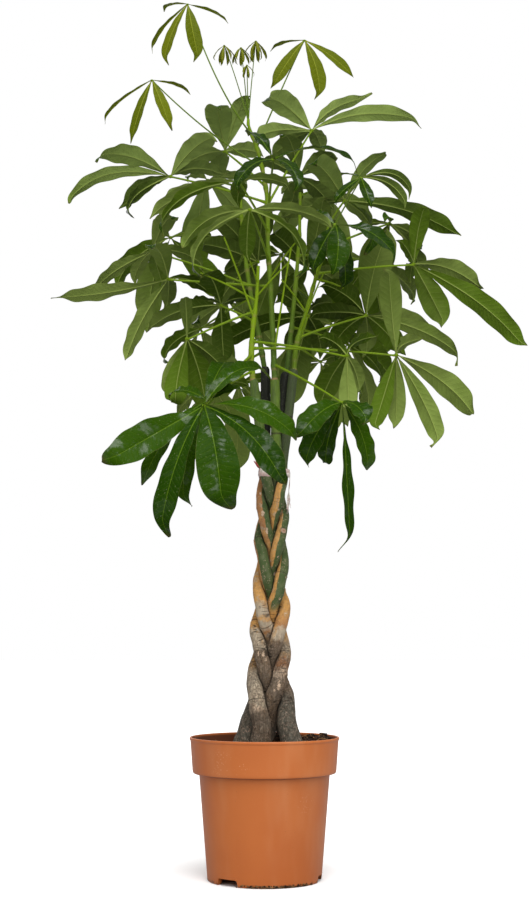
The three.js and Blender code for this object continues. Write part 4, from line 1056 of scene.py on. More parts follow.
def addShoot(shape, name):
    shoot = shoots[name]
    route = np.array(shoot["route"], float)
    count = int((route[-1][2] - route[0][2]) / skin["step"])
    t = np.linspace(0, 1, count)
    centres = throughPoints(route, t)
    z = centres[:, 2]
    scar = bell(z, route[0][2] + 9, 2.6) * 1.1  # where it grew from the trunk
    radii = np.interp(t, [0, 1], shoot["radius"]) * skin["slim"] + scar * 0.9
    for height in petioleRoots.get(name, []):  # swollen where it carries a frond, and scarred just below
        radii = radii + bell(z, height - 2, 5) * 0.9
        scar = np.maximum(scar, bell(z, height - 7, 1.2) * 0.5)

    def relief(centre, out, ring):
        return np.array([noise.noise(Vector(centre * 0.05 + d * 0.8)) * 0.35 for d in out])

    points, faces = tube(centres, radii, skin["sides"], relief)
    rings = ringsOf(count, skin["sides"])
    rise = smooth(t, 0.0, 0.8)
    bright = shoot["bright"] + (1 - shoot["bright"]) * rise * 0.7
    marks = np.stack([bright[rings], np.clip(scar, 0, 1)[rings], (1 - rise)[rings]], 1)
    shape.add(points, faces, skin=marks)


def buildShoots():
    finish = skinFinish("shoot_skin")
    for name, shoot in shoots.items():
        shape = Shape()
        addShoot(shape, name)
        for stem, at, end, radius in stalks:
            if stem == name:
                root, end = shootPoint(name, at), np.array(end, float)
                bend = (root + end) / 2 + up * skin["stalkRise"] * np.linalg.norm(end - root)
                along = np.linspace(0, 1, 16)
                stalk = tube(bezier(root, bend, end, along), radius * (1.1 - 0.3 * along), 8)
                shape.add(*stalk, skin=(1.0, 0, 0.2))
        shape.piece(f"shoot_{name}", [finish], [f"trunk_{shoot['trunk']}"], sharp=60)


# Fronds: petiole, hub and leaflets, each row as in the frame. A row gives the shoot that it grows from and
# the height there, where the leaflets meet, which way their upper side faces (degrees round from the front,
# degrees up), and each leaflet's tip from there, with its width and arch where they aren't the usual ones.

fronds = [
    ("young_top", "leader", 1070, (-115, 10, 1272), (0, 75),
     [(-42, 55, 16, 15), (-58, 25, -65, 17), (-34, -15, -99, 19), (18, -20, -96, 22), (60, 40, -10, 16)]),
    ("young_left", "leader", 1020, (-165, -20, 1143), (0, 75),
     [(-76, 25, -54, 16), (-28, -15, -99, 18), (29, -20, -81, 21), (54, 40, -4, 15)]),
    ("young_right", "leader", 1050, (60, 30, 1224), (0, 75),
     [(-50, 50, 6, 14), (-48, -10, -78, 19), (22, -20, -98, 24), (74, 10, -54, 17)]),
    ("left_high", "leader", 965, (-140, 30, 1013), (180, 52),
     [(-108, -45, 16, 37, 0.45), (-155, -20, -53, 26, 0.6), (-80, 75, -29, 26), (70, -65, 40, 34),
      (-55, -60, -78, 26, 0.4), (80, 60, 20, 28)]),
    ("top_middle", "leader", 990, (-60, 60, 1061), (180, 40),
     [(0, -96, 50, 40), (36, -64, 62, 27), (-68, 60, -5, 32), (60, 40, 8, 27), (-18, 90, -30, 28)]),
    ("right_high", "leader", 962, (70, 20, 1080), (178, 45),
     [(-70, -92, 18, 42), (-96, -40, -26, 25, 0.35), (-62, 62, -24, 28), (172, 10, 16, 27, 0.6),
      (93, 66, 76, 24), (20, 80, -12, 26)]),
    ("front_high", "leader", 948, (12, -110, 994), (20, 60),
     [(122, -20, -18, 24, 0.35), (-54, -56, -60, 24), (36, -70, -66, 26), (-40, 45, 55, 24)]),
    ("small_right", "right", 903, (141, -10, 999), (20, 60),
     [(78, 25, -22, 14, 0.5), (66, -20, -52, 16, 0.4), (11, -40, -54, 19), (-42, -20, -43, 14),
      (-30, 50, 19, 14)]),
    ("front_middle", "leader", 922, (-35, -130, 957), (180, 68),
     [(-110, -30, -80, 27, 0.4), (-128, 40, -42, 27, 0.3), (32, -52, 19, 24), (74, 40, 4, 24),
      (-5, 85, -10, 24)]),
    ("front_broad", "leader", 878, (-20, -160, 908), (180, 68),
     [(-94, 24, -50, 32, 0.46), (-72, -50, -109, 28, 0.4), (115, 20, -18, 26, 0.3), (70, -46, -107, 30, 0.4),
      (14, 70, -44, 24)]),
    ("right_shaded", "right", 880, (120, 50, 982), (175, 55),
     [(-32, -98, 52, 42), (64, -60, 56, 22, 0.35), (178, 16, -54, 36, 0.26), (30, -84, -99, 32),
      (-100, 30, 10, 26)]),
    ("right_hanging", "right", 838, (100, -70, 912), (15, 40),
     [(-4, -50, -86, 33), (86, -40, -62, 32), (14, 26, -88, 28), (-36, -26, -76, 26), (-50, 44, 26, 24)]),
    ("left_low", "leader", 838, (-140, 0, 850), (180, 62),
     [(-168, 5, -26, 30, -0.06), (-60, -20, -128, 28, 0.08), (-20, -90, 28, 34), (-7, 85, -26, 24),
      (60, 66, -8, 26)]),
    ("left_hidden", "backLeft", 850, (-168, 60, 907), (180, 60),
     [(-92, -20, -72, 27, 0.12), (-36, 70, -35, 22), (38, -80, 33, 32), (78, 50, -12, 28),
      (12, 95, -40, 26)]),
    ("left_inner", "green", 785, (-64, 30, 818), (180, 55),
     [(-109, 15, -34, 32), (-46, 80, 18, 24), (4, 34, -84, 28), (-22, -76, 38, 34), (56, 50, 18, 26)]),
    ("left_drooping", "green", 800, (-110, -40, 754), (180, 35),
     [(0, -60, 50, 18), (-12, -50, -106, 33), (-30, 0, -84, 24), (26, 34, -102, 42), (57, 34, -44, 28)]),
    ("front_low", "green", 735, (-80, -170, 639), (-5, 48),
     [(-122, -60, -81, 43, -0.05), (-54, -54, -178, 30), (27, -72, -146, 50), (106, -50, -112, 34, 0.28),
      (125, -20, -49, 36, 0.33), (85, 66, 56, 32, 0.4), (28, 92, 74, 28)]),
    ("front_low_behind", "green", 712, (-78, -118, 654), (-10, 50),
     [(-84, -40, -122, 26), (-30, -14, -148, 28), (52, 56, 10, 26), (-52, 46, 8, 24), (40, 62, 48, 26)]),
    ("right_middle", "right", 858, (219, 20, 877), (175, 40),
     [(11, -64, 72, 28), (108, 20, -38, 32, 0.7), (164, -10, -134, 36, 0.33), (48, 24, -92, 40),
      (-18, 40, 50, 22), (2, 88, -6, 20)]),
    ("right_inner", "right", 762, (150, 40, 805), (180, 40),
     [(34, -62, 114, 45), (111, 40, -28, 32, 0.4), (-68, 20, 54, 34), (-85, 44, 10, 28), (-50, 56, -42, 30),
      (5, 78, -49, 28), (60, 66, -42, 30), (142, -20, -72, 24, 0.5)]),
    ("right_low", "green", 745, (186, -50, 729), (178, 35),
     [(110, -10, -94, 36, 0.6), (58, -20, -134, 30, 0.45), (-14, -62, 114, 32), (44, 66, 36, 26),
      (0, 24, -104, 27), (-35, -14, -110, 28)]),
    ("right_low_behind", "green", 755, (114, -88, 721), (180, 45),
     [(0, -26, -84, 26), (21, 42, -44, 22), (-38, 30, 34, 24), (-37, 72, -66, 36), (44, 60, 38, 24)]),
    ("front_right_low", "leader", 722, (106, -118, 651), (10, 50),
     [(-62, -56, -55, 34, 0.3), (-52, 10, -88, 28), (31, -52, -34, 28), (8, -30, -205, 20, 0.12),
      (22, 10, -98, 30), (-20, 50, -84, 24)]),
    ("middle_inner", "right", 735, (65, 60, 808), (180, 45),
     [(72, 60, 0, 26), (-135, 24, -42, 30), (24, 54, -66, 26), (-32, 70, -44, 26), (14, 20, -147, 42),
      (-34, -30, 38, 26)]),
    ("inner_left", "backLeft", 880, (-10, 90, 898), (185, 45),
     [(-86, -50, 14, 34), (-74, 50, -52, 34), (-46, -72, 56, 32), (8, -76, 66, 32), (-26, 74, -74, 30)]),
    ("inner_right", "backRight", 870, (66, 102, 890), (175, 45),
     [(-50, -72, 52, 32), (-22, -90, 80, 30), (42, -60, 52, 30), (56, 44, -20, 30), (-46, 52, -44, 28)]),
    ("inner_high", "leader", 1000, (51, 62, 1022), (170, 50),
     [(-58, -48, 12, 28), (-20, 66, -52, 28), (48, 52, -42, 28), (54, -58, 18, 28), (-22, -82, 40, 28)]),
]

# Fronds that the front hides: shoot, height there, hub, facing, count of leaflets and the middle one's length
backFronds = [
    ("back_1", "backLeft", 1005, (-90, 170, 1050), (205, 55), 5, 125),
    ("back_2", "backRight", 995, (90, 165, 1035), (150, 55), 5, 125),
    ("back_3", "backLeft", 960, (-150, 200, 965), (215, 45), 5, 135),
    ("back_4", "backRight", 935, (26, 150, 925), (180, 45), 6, 112),
    ("back_5", "backRight", 900, (165, 190, 925), (140, 45), 5, 135),
    ("back_6", "backLeft", 905, (-60, 235, 870), (195, 40), 5, 118),
    ("back_7", "backRight", 850, (110, 235, 830), (160, 40), 5, 140),
    ("back_8", "backLeft", 830, (-100, 165, 810), (225, 40), 5, 115),
    ("back_9", "backRight", 785, (128, 146, 782), (125, 40), 5, 110),
    ("back_10", "backLeft", 775, (-40, 205, 730), (190, 40), 5, 125),
    ("back_11", "backLeft", 745, (-80, 115, 715), (220, 45), 5, 105),
    ("back_12", "backRight", 760, (86, 132, 752), (160, 45), 5, 95),
    ("side_1", "right", 895, (188, 60, 950), (120, 50), 5, 92),
]
# how dark the shaded leaves are: a whole frond, or one leaflet of it
shaded = {
    "front_high": 0.85, "right_hanging": 0.45, "inner_high": 0.65, "top_middle": 0.2, "right_shaded": 0.3,
    "small_right": 0.68, "left_high 0": 0.22, "left_high 2": 0.7, "left_high 3": 0.3, "left_high 4": 0.9,
    "left_high 5": 0.55, "right_high 2": 0.5, "right_high 5": 0.4,
}
# leaflets that are rolled about their rib, and which way their upper side faces
rolled = {
    "young_right 1": (0, 25), "young_right 3": (0, 32), "small_right 0": (180, 50),
    "small_right 1": (180, 52), "front_low 0": (0, 18), "front_right_low 3": (52, 10),
}
rounded = {"front_low": 0.7, "front_right_low": 0.4, "front_low_behind": 0.4}  # fronds with blunter leaflets
star = {
    "spread": 265, "swing": 12, "shortest": 0.55, "lengths": (0.94, 0.12), "droop": 24, "sag": 0.22,
    "seed": 7,
}
young = ("young_top", "young_left", "young_right", "small_right")
risen = {"young_top": -0.25, "young_left": -0.09}  # how far a petiole arches, where it isn't the usual share

leaf = {
    "thickness": 0.42, "widthShare": 0.28, "rise": 0.28, "youngRise": 0.12, "highest": 0.55, "fold": 0.16,
    "wave": 0.065, "ripple": 1.5, "hook": 0.08, "twist": 0.2, "bowed": 0.034, "usualWidth": 30,
    "hiddenWidth": 1.14, "youngWidth": 1.08, "bluntWidth": 0.16, "youngOlive": 0.2, "youngRipple": 0.35,
    # the canopy's middle and reach; the painted shade is full within darkWithin and gone from lightFrom
    "canopyMiddle": (15, 10, 820), "canopyReach": (270, 240, 270), "darkWithin": 0.34, "lightFrom": 0.84,
    "baseExponent": 1.15, "tipExponent": 0.8, "narrowing": 0.42, "narrowFrom": (0.80, 0.97),
    "veinSpacing": 8.5, "fewestVeins": 5, "rowsPerVein": 4, "slant": 0.085, "quilt": 0.42,
    "ribWidth": 1.25, "ribHeight": 1.5, "groove": 0.3, "columns": (0.26, 0.46, 0.66, 0.84, 1.0),
    # ways in which the frame may have turned a leaflet: degrees sideways and up
    "turns": [(0, 0), (0, 7), (0, -7), (6, 0), (-6, 0), (6, 7), (-6, 7), (6, -7), (-6, -7), (0, 14), (0, -14),
              (13, 0), (-13, 0), (13, 10), (-13, 10), (13, -10), (-13, -10), (0, 22), (0, -22), (20, 12),
              (-20, 12), (20, -12), (-20, -12), (0, 30), (0, -30)],
    "nearEnough": 1.2,  # how far off the frame's leaflet a tip may be found
    "bows": (0, 10, -10, 20, -20, 32, -32, 46, -46), "petiole": (1.95, 1.35), "petioleRise": 0.03,
    "petioleFoot": (1.1, 0.045), "petioleTop": 0.55, "petioleSkin": 0.8, "youngSkin": 0.42,
    "hub": 3.4, "hubSize": 0.9, "youngSize": 0.66,
}
leafColours = {
    "top": (0.009, 0.033, 0.001), "topBright": (0.021, 0.058, 0.001), "topVein": (0.080, 0.145, 0.008),
    "under": (0.190, 0.258, 0.055), "underDark": (0.090, 0.158, 0.010), "underVein": (0.310, 0.390, 0.090),
    # inner and innerTop: painted shade for leaves deep in the canopy
    "underLit": (0.420, 0.550, 0.150), "inner": (0.024, 0.052, 0.001), "innerTop": (0.007, 0.021, 0.001),
    "youngTop": (0.100, 0.128, 0.003), "youngUnder": (0.145, 0.178, 0.006),
    "youngVein": (0.260, 0.295, 0.025), "olive": (0.115, 0.105, 0.006), "edge": (0.13, 0.14, 0.03),
    "tip": (0.06, 0.045, 0.012), "dust": (0.36, 0.38, 0.22), "glow": (0.14, 0.25, 0.006),
    "youngGlow": (0.32, 0.40, 0.012),
    "underLitFrom": (0.99, 1.09),  # height in metres from where undersides are painted paler: painted light on the highest leaves
}


def facing(bearing, lift):  # a direction: degrees round from the front and degrees up
    a, b = math.radians(bearing), math.radians(lift)
    return np.array([math.sin(a) * math.cos(b), -math.cos(a) * math.cos(b), math.sin(b)])


def squareTo(direction, along):  # the part of a direction that is square to another
    return unit(direction - along * np.dot(direction, along))


def starTips(faces, leaflets, reach, draw):  # leaflets spread evenly round the hub of a hidden frond
    face = facing(*faces)
    ahead = squareTo(facing(faces[0], 0), face)
    beside = np.cross(face, ahead)
    droop = math.radians(star["droop"])
    least, spare = star["lengths"]
    tips = []
    for i in range(leaflets):
        off = i / (leaflets - 1) * 2 - 1
        angle = math.radians(off * star["spread"] / 2 + (draw() - 0.5) * star["swing"])
        length = reach * (1 + (star["shortest"] - 1) * abs(off) ** 1.5) * (least + spare * draw())
        tip = ahead * math.cos(angle) + beside * math.sin(angle)
        tip = tip * math.cos(droop) - face * math.sin(droop)
        tips.append(tuple((tip - up * star["sag"]) * length))
    return tips


def drawer(seed):  # the same even draw as the frame's
    state = [seed]

    def draw():
        state[0] = (state[0] * 1664525 + 1013904223) % 4294967296
        return state[0] / 4294967296
    return draw


def turnedChord(chord, face, swing, lift):  # a direction swung aside and lifted by degrees
    along = unit(chord)
    a, b = math.radians(swing), math.radians(lift)
    along = (along * math.cos(a) + np.cross(face, along) * math.sin(a)
             + face * np.dot(face, along) * (1 - math.cos(a)))
    return unit(along * math.cos(b) + squareTo(face, along) * math.sin(b))


def leafletTip(tree, hub, tip, face):  # where the frame's leaflet ends, or nothing where it was left out
    best = None
    for swing, lift in leaf["turns"]:
        end = hub + turnedChord(tip, face, swing, lift) * np.linalg.norm(tip)
        far = tree.find(Vector(end))[2]
        if far < leaf["nearEnough"] and (best is None or far < best[0]):
            best = (far, end)
    return None if best is None else best[1]


def petioleRoute(name, stem, at, hub, faces, tips, bow):  # the ends and the bend of a frond's stalk
    root = shootPoint(stem, at)
    towards = sum(unit(np.array(tip[:3])) for tip in tips) * leaf["hub"] / len(tips)
    face = facing(*faces)
    end = hub + towards - face * np.dot(face, towards)
    along = end - root
    beside = unit(np.cross(along, up))
    bend = (root + end) / 2 + up * risen.get(name, leaf["petioleRise"]) * np.linalg.norm(along) + beside * bow
    return root, bend, end


def petioleBow(tree, *row):  # the frame bends a petiole aside where something is in its way
    def off(bow):
        points = bezier(*petioleRoute(*row, bow), [0.25, 0.5, 0.75])
        return sum(tree.find(Vector(p))[2] for p in points)
    return min(leaf["bows"], key=off)


def halfWidth(s, width, blunt):  # of a leaflet, at a share of its length
    b, t = leaf["baseExponent"], leaf["tipExponent"] * (1 - 0.35 * blunt)
    s = np.clip(s, 0, 1)
    widest = (b / (b + t)) ** b * (t / (b + t)) ** t
    narrow = leaf["narrowing"] * (1 - blunt) * smooth(s, *leaf["narrowFrom"])
    return width / 2 * s ** b * (1 - s) ** t / widest * (1 - narrow)


def canopyShade(points):  # painted shade: from 0 at the canopy's outside to 1 deep within it
    far = np.linalg.norm((points - leaf["canopyMiddle"]) / leaf["canopyReach"], axis=1)
    return 1 - smooth(far, leaf["darkWithin"], leaf["lightFrom"])


def bladeGrid(width, veins, blunt):  # rows from stalk to tip, columns from edge to edge, three on the rib
    step = np.linspace(0, 1, veins * leaf["rowsPerVein"] + 1)[:, None]
    wide = np.array(leaf["columns"])
    u = np.concatenate([-wide[::-1], [0, 0, 0], wide])[None, :]
    s = step + leaf["slant"] * 4 * step * (1 - step) * abs(u)
    half = np.maximum(halfWidth(s, width, blunt), 0.35 + 0.9 * (1 - smooth(step, 0, 0.12)))
    rib = np.minimum(leaf["ribWidth"] * (1.15 - 0.8 * step) * min(1, width / 22), half * 0.2)
    x = half * u
    middle = len(wide)
    x[:, middle] = -rib[:, middle]
    x[:, middle + 2] = rib[:, middle]
    return step, s, half, x, rib[:, middle]


def bladeLift(step, s, half, u, width, veins, phase, crinkle):  # how far fold, waves and quilting lift it
    edge = abs(u)
    turn = np.where(u > 0, 2.0, 0.0)
    size = min(1, width / leaf["usualWidth"])
    lift = leaf["fold"] * half * (1.4 * edge - 0.4 * edge * edge)
    lift = lift + leaf["wave"] * crinkle * width * np.sin(9 * s + phase + turn) * edge ** 1.5
    frill = np.sin(27 * s + 2.3 * phase + 1.7 * turn) * edge ** 3 * smooth(s, 0.1, 0.3)
    lift = lift + leaf["ripple"] * crinkle * size * frill
    bulge = abs(np.sin(math.pi * veins * step)) ** 0.8
    depth = leaf["quilt"] * size * np.sin(math.pi * np.clip(edge, 0, 1)) ** 0.6 * smooth(step, 0, 0.1)
    return lift + depth * (bulge - 0.5) * smooth(1 - step, 0, 0.12)


def addBlade(shape, hub, tip, face, width, rise, phase, chance, slots, deep=None, veins=None, crinkle=1.0,
             dark=0, blunt=0, shown=None):
    chord = tip - hub
    length = np.linalg.norm(chord)
    upper = squareTo(face, chord / length)
    bend = hub + chord * leaf["highest"] + upper * rise * length
    veins = veins or max(leaf["fewestVeins"], round(length / leaf["veinSpacing"]))
    step, s, half, x, rib = bladeGrid(width, veins, blunt)
    u = x / half
    flat = s.ravel()
    along = unit(2 * (1 - flat)[:, None] * (bend - hub) + 2 * flat[:, None] * (tip - bend))
    shown = upper if shown is None else shown
    normal = unit(shown - along * (along @ shown)[:, None])
    rng = random.Random(int(chance * 1e6))
    twist, bowed = [rng.uniform(-leaf[name], leaf[name]) for name in ("twist", "bowed")]
    curl = rng.choice((-1, 1)) * rng.uniform(0.4, 1)
    end = smooth(s, 0.82, 1.02) ** 2 * length * leaf["hook"]
    lift = bladeLift(step, s, half, u, width, veins, phase, crinkle) + twist * x * (s - 0.2) - end * 0.8
    sway = bowed * length * np.sin(math.pi * s) + end * curl
    base = bezier(hub, bend, tip, flat) + np.cross(along, normal) * (x + sway).reshape(-1, 1)
    middle = len(leaf["columns"]) + 1
    groove, drop = np.zeros_like(x), np.zeros_like(x)
    groove[:, middle] = leaf["groove"] * rib
    drop[:, middle] = leaf["ribHeight"] * (1.1 - 0.75 * step[:, 0]) * np.minimum(rib, 1)
    thick = leaf["thickness"] * (1 - 0.4 * abs(u)) / 2
    top = base + normal * (lift + thick - groove).reshape(-1, 1)
    low = base + normal * (lift - thick - drop).reshape(-1, 1)
    # painted shade, deep in the canopy or set per frond; a young leaf gets its olive share instead
    shade = np.maximum(canopyShade(base), dark) if deep is None else np.full(x.size, deep)
    blade = np.stack([x.ravel(), (veins * step * np.ones_like(x)).ravel(), flat], 1)
    mood = np.stack([np.full(x.size, chance), u.ravel(), shade], 1)
    marks = {"blade": np.tile(blade, (2, 1)), "mood": np.tile(mood, (2, 1))}
    first, upperCount = len(shape.faces), (x.shape[0] - 1) * (x.shape[1] - 1)
    shape.add(np.concatenate([top, low]), slab(*x.shape), slots[1], **marks)
    shape.slots[first:first + upperCount] = [slots[0]] * upperCount


def bladeFinish(name, look):
    c = leafColours
    f = Finish(name)
    at = f.place()
    x, v, s = f.mark("blade")
    # the third number is painted shade on older leaves and the olive share on young ones
    chance, u, deep = f.mark("mood")
    drift = f.moved(at, f.joined(chance * 9, chance * 5, 0))
    cloud = f.clouds(drift, 24, 3)
    net = f.cells(f.joined(v * 3.2 + chance * 50, x * 0.42, s * 2), 1, "DISTANCE_TO_EDGE")
    between = f.node("Math", {"operation": "PINGPONG"}, {0: v, 1: 0.5})
    fine = f.fade(between, 0.015, 0.085) * f.fade(abs(u), 0.66, 0.96)
    rib = f.fade(abs(x) / (1.25 - 0.85 * s), 0.58, 1.0)
    tone = f.mix(f.step(cloud * 0.7 + chance, 0.55, 1.15), c[look["main"]], c[look["other"]])
    if look["pale"]:  # painted light: the highest leaves get paler undersides
        high = f.step(f.numbers(at)[2] + cloud * 0.08, *c["underLitFrom"])
        tone = f.mix(high * look["pale"], tone, c["underLit"])
    vein = c[look["vein"]]
    tone = f.layered(
        tone,
        (deep * 0.92, c[look["deep"]]),
        (f.fade(net, 0.0, 0.16) * look["net"], vein),
        (fine * look["fine"], vein),
        (rib * 0.88, vein),
        (f.step(abs(u), 0.965, 1.0) * 0.5, c["edge"]),
        (f.step(s, 0.955, 1.0) * 0.7, c["tip"]),
        (f.patches(drift, 420, 0.63, 0.70, 3, 0.7) * look["dust"], c["dust"]),
    )
    height = fine * look["veinLift"] + rib * look["veinLift"] * 0.6 + f.step(net, 0.0, 0.3) * 0.22
    normal = f.bump(height + f.clouds(drift, 900, 2) * 0.15, 0.00045, 0.75)
    rough = look["rough"] + cloud * 0.16
    wet = f.patches(drift, 42, 0.50, 0.62, 4, 0.6) * look["wet"]
    return f.surface(tone, rough, normal, c[look["glow"]], look["share"], Specular_IOR_Level=look["gloss"],
                     Specular_Tint=(0.8, 1.0, 0.6, 1), Coat_Weight=wet, Coat_Roughness=0.16)


def leafFinishes():
    top = {
        "main": "top", "other": "topBright", "deep": "innerTop", "vein": "topVein", "net": 0.10, "fine": 0.26,
        "veinLift": -1.0, "dust": 0.34, "rough": 0.26, "gloss": 0.03, "glow": "glow", "share": 0.10,
        "pale": 0, "wet": 0.42,
    }
    under = {
        **top, "main": "under", "other": "underDark", "deep": "inner", "vein": "underVein", "net": 0.07,
        "fine": 0.16, "veinLift": 0.7, "dust": 0.04, "rough": 0.50, "gloss": 0.035, "share": 0.27,
        "pale": 0.66, "wet": 0,
    }
    youngTop = {
        **top, "main": "youngTop", "other": "youngUnder", "deep": "olive", "vein": "youngVein", "net": 0.04,
        "fine": 0.34, "dust": 0.04, "rough": 0.36, "gloss": 0.09, "glow": "youngGlow", "share": 0.30,
        "wet": 0,
    }
    youngUnder = {
        **youngTop, "main": "youngUnder", "other": "youngTop", "veinLift": 0.6, "rough": 0.46, "gloss": 0.06,
    }
    return [
        bladeFinish("leaf_top", top), bladeFinish("leaf_underside", under),
        bladeFinish("young_leaf_top", youngTop), bladeFinish("young_leaf_underside", youngUnder),
        skinFinish("petiole_skin"),
    ]


def addHub(shape, hub, face, size, slot):  # the small swollen disc that the leaflets share
    ahead = squareTo(up if abs(face[2]) < 0.9 else np.array([0.0, -1.0, 0.0]), face)
    beside = np.cross(face, ahead)
    points, faces = turned([(0, -0.55), (0.6, -0.48), (1, -0.1), (0.92, 0.25), (0.5, 0.45), (0, 0.40)], 14)
    points = np.array(points) * size
    spread = points[:, :1] * ahead + points[:, 1:2] * beside + points[:, 2:] * face
    shape.add(spread + hub, faces, slot, skin=(0.8, 0, 0))


def addLeaflet(shape, tree, name, hub, face, row, index, i):  # false where the frame left the leaflet out
    fresh = name in young
    tip = np.array(row[:3], float)
    end = leafletTip(tree, hub, tip, face)
    if end is None:
        return False
    width = row[3] if len(row) > 3 else leaf["widthShare"] * np.linalg.norm(tip)
    rise = row[4] if len(row) > 4 else leaf["youngRise" if fresh else "rise"]
    chance = random.Random(index * 31 + i).random()
    phase = index * 1.3 + i * 2.1
    key = f"{name} {i}"
    shown = facing(*rolled[key]) if key in rolled else None
    if fresh:
        look = {"deep": shaded.get(name, leaf["youngOlive"] * chance), "crinkle": leaf["youngRipple"]}
        width *= leaf["youngWidth"]
    else:
        look = {"dark": shaded.get(name, shaded.get(key, 0)), "blunt": rounded.get(name, 0)}
        width *= leaf["hiddenWidth"] if len(row) < 4 or "inner" in name else 1
        width *= 1 + leaf["bluntWidth"] * look["blunt"]
    slots = (2, 3) if fresh and name != "small_right" else (0, 1)
    addBlade(shape, hub, end, face, width, rise, phase, chance, slots, shown=shown, **look)
    return True


def addPetiole(shape, tree, fresh, *row):  # the stalk, and the hub at its end
    size = leaf["youngSize"] if fresh else 1
    t = np.linspace(0, 1, 26)
    low, high = leaf["petiole"]
    swelling, reach = leaf["petioleFoot"]
    radii = (low + (high - low) * t) * size + swelling * bell(t, 0, reach)
    radii = radii + leaf["petioleTop"] * size * smooth(t, 0.955, 1)
    stalk = tube(bezier(*petioleRoute(*row, petioleBow(tree, *row)), t), radii, 10)
    shape.add(*stalk, 4, skin=(leaf["youngSkin" if fresh else "petioleSkin"], 0, 0.3))
    hub, facings = row[3:5]
    addHub(shape, hub, facing(*facings), leaf["hub"] * size * leaf["hubSize"], 4)


def buildFronds(finishes):
    draw = drawer(star["seed"])
    rows = list(fronds)
    for name, stem, at, hub, faces, leaflets, reach in backFronds:
        rows.append((name, stem, at, hub, faces, starTips(faces, leaflets, reach, draw)))
    kept = 0
    for index, (name, stem, at, hub, faces, tips) in enumerate(rows):
        tree = treeOf(nodePoints(f"frond_{name}"))
        hub, face = np.array(hub, float), facing(*faces)
        fresh = name in young
        shape = Shape()
        for i, row in enumerate(tips):
            kept += addLeaflet(shape, tree, name, hub, face, row, index, i)
        addPetiole(shape, tree, fresh, name, stem, at, hub, faces, tips)
        petioleRoots.setdefault(stem, []).append(at)
        shape.piece(f"frond_leaves_{name}", finishes, [f"frond_{name}"], sharp=55)
    print("leaflets placed:", kept)


growingTip = {
    "start": (-24, 8, 1086), "stem": 7, "radii": (2.6, 2.4, 2.2, 0.9), "hub": 1.4, "twist": 40,
    "droop": (56, 76), "width": 5.8, "arch": 0.2, "olive": 0.65, "veins": 7, "crinkle": 0.5,
    "fronds": [((-60, 8, 1207), 7, 31), ((-35, 2, 1201), 7, 28), ((-13, 16, 1217), 7, 33),
               ((-26, -14, 1168), 6, 20)],
}


def buildTip(finishes):
    g = growingTip
    shape = Shape()
    start = np.array(g["start"], float)
    neck = start + up * g["stem"]
    stem = np.array([start - up * 2, start + up * 3, neck, neck + up * 3])
    shape.add(*tube(stem, g["radii"], 12), 4, skin=(0.9, 0, 0))
    for index, (hub, leaflets, reach) in enumerate(g["fronds"]):
        end = np.array(hub, float)
        t = np.linspace(0, 1, 16)
        route = bezier(neck - up * 1.5, (neck + end) / 2 + up * 8, end, t)
        shape.add(*tube(route, 0.85 - 0.2 * t + 0.5 * bell(t, 0, 0.08), 8), 4, skin=(0.4, 0, 0))
        addHub(shape, end, up, g["hub"], 4)
        for i in range(leaflets):
            angle = 360 * i / leaflets + g["twist"] * index
            tip = facing(angle + 90, -g["droop"][i % 2]) * reach
            width = g["width"] * reach / 31
            addBlade(shape, end, end + tip, up, width, g["arch"], i, 0.1 + 0.13 * i, (2, 3), g["olive"],
                     g["veins"], g["crinkle"])
    shape.piece("growing_tip", finishes, ["shoot_tip"], sharp=55)


finishes = leafFinishes()
buildFronds(finishes)
buildTip(finishes)
buildShoots()
print("fronds, growing tip and shoots built")


# Stage, light and camera

stage = {
    "camera": (0, -2145, 343), "pitch": 6.83, "lens": 60.24, "sensor": 36, "floor": 30000,
    "backdrop": 1.0, "sky": 0.40, "sun": 2.4, "sunAngle": 40, "sunTilt": (20, 3),
    "key": 70, "keyAt": (0.36, -2.7, 1.9), "fill": 26, "fillAt": (-0.7, 2.6, 1.8),  # watts and metres
    "lampSize": 2.3, "lampAim": (0, 0, 0.7),
    "floorSeen": 0.95, "floorPatch": 0.92, "floorBounce": 0.46, "floorGlow": 0.20, "glowFrom": (95, 240),
}


def grey(level):
    return (level, level, level)


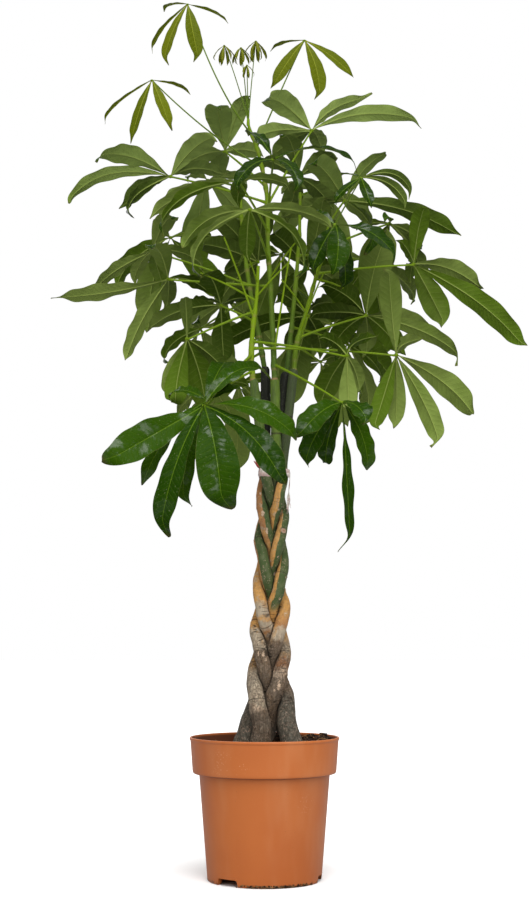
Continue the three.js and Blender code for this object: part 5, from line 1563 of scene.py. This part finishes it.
def buildFloor():  # it looks white, and throws less than that back up at the plant
    size = stage["floor"] * mm / 2
    corners = [(-size, -size, 0), (size, -size, 0), (size, size, 0), (-size, size, 0)]
    mesh = bpy.data.meshes.new("floor")
    mesh.from_pydata(corners, [], [(0, 1, 2, 3)])
    f = Finish("pale_floor")
    direct = f.node("LightPath")
    seen = f.mix(f.clouds(f.place(), 3, 3), grey(stage["floorSeen"]), grey(stage["floorPatch"]))
    colour = f.mix(direct, grey(stage["floorBounce"]), seen)
    # the floor glows for the camera away from the pot: painted light, with a painted contact shadow round the
    # foot
    pastContactShade = f.step(f.far(f.place(), (0, 0, 0)), *stage["glowFrom"])
    glowing = f.mix(direct * pastContactShade, grey(0), grey(stage["floorGlow"]))
    finish = f.surface(colour, 0.85, Specular_IOR_Level=0.1, Emission_Color=glowing, Emission_Strength=1.0)
    mesh.materials.append(finish)
    link("floor", mesh)


def buildWorld():  # the paper backdrop looks white, and lights the plant only softly
    world = bpy.data.worlds.new("studio")
    world.use_nodes = True
    tree = world.node_tree
    sky, paper = tree.nodes["Background"], tree.nodes.new("ShaderNodeBackground")
    for light, strength in ((sky, stage["sky"]), (paper, stage["backdrop"])):
        light.inputs["Color"].default_value = (1, 1, 1, 1)
        light.inputs["Strength"].default_value = strength
    rays = tree.nodes.new("ShaderNodeLightPath")
    either = tree.nodes.new("ShaderNodeMixShader")
    tree.links.new(rays.outputs["Is Camera Ray"], either.inputs[0])
    tree.links.new(sky.outputs[0], either.inputs[1])
    tree.links.new(paper.outputs[0], either.inputs[2])
    tree.links.new(either.outputs[0], tree.nodes["World Output"].inputs[0])
    bpy.context.scene.world = world


def buildLights():
    sun = link("soft_overhead", bpy.data.lights.new("soft_overhead", "SUN"))
    sun.data.energy = stage["sun"]
    sun.data.angle = math.radians(stage["sunAngle"])
    sun.rotation_euler = (*map(math.radians, stage["sunTilt"]), 0)
    for name in ("key", "fill"):
        lamp = link(name, bpy.data.lights.new(name, "AREA"))
        lamp.data.energy = stage[name]
        lamp.data.size = stage["lampSize"]
        lamp.location = stage[name + "At"]
        towards = Vector(stage["lampAim"]) - lamp.location
        lamp.rotation_euler = towards.to_track_quat("-Z", "Y").to_euler()


def buildCamera():
    camera = link("camera", bpy.data.cameras.new("camera"))
    camera.location = Vector(stage["camera"]) * mm
    camera.rotation_euler = (math.radians(90 + stage["pitch"]), 0, 0)
    camera.data.sensor_fit = "VERTICAL"
    camera.data.sensor_height = stage["sensor"]
    camera.data.lens = stage["lens"]
    bpy.context.scene.camera = camera
    bpy.context.scene.view_settings.view_transform = "Standard"


buildFloor()
buildWorld()
buildLights()
buildCamera()
print("stage set")
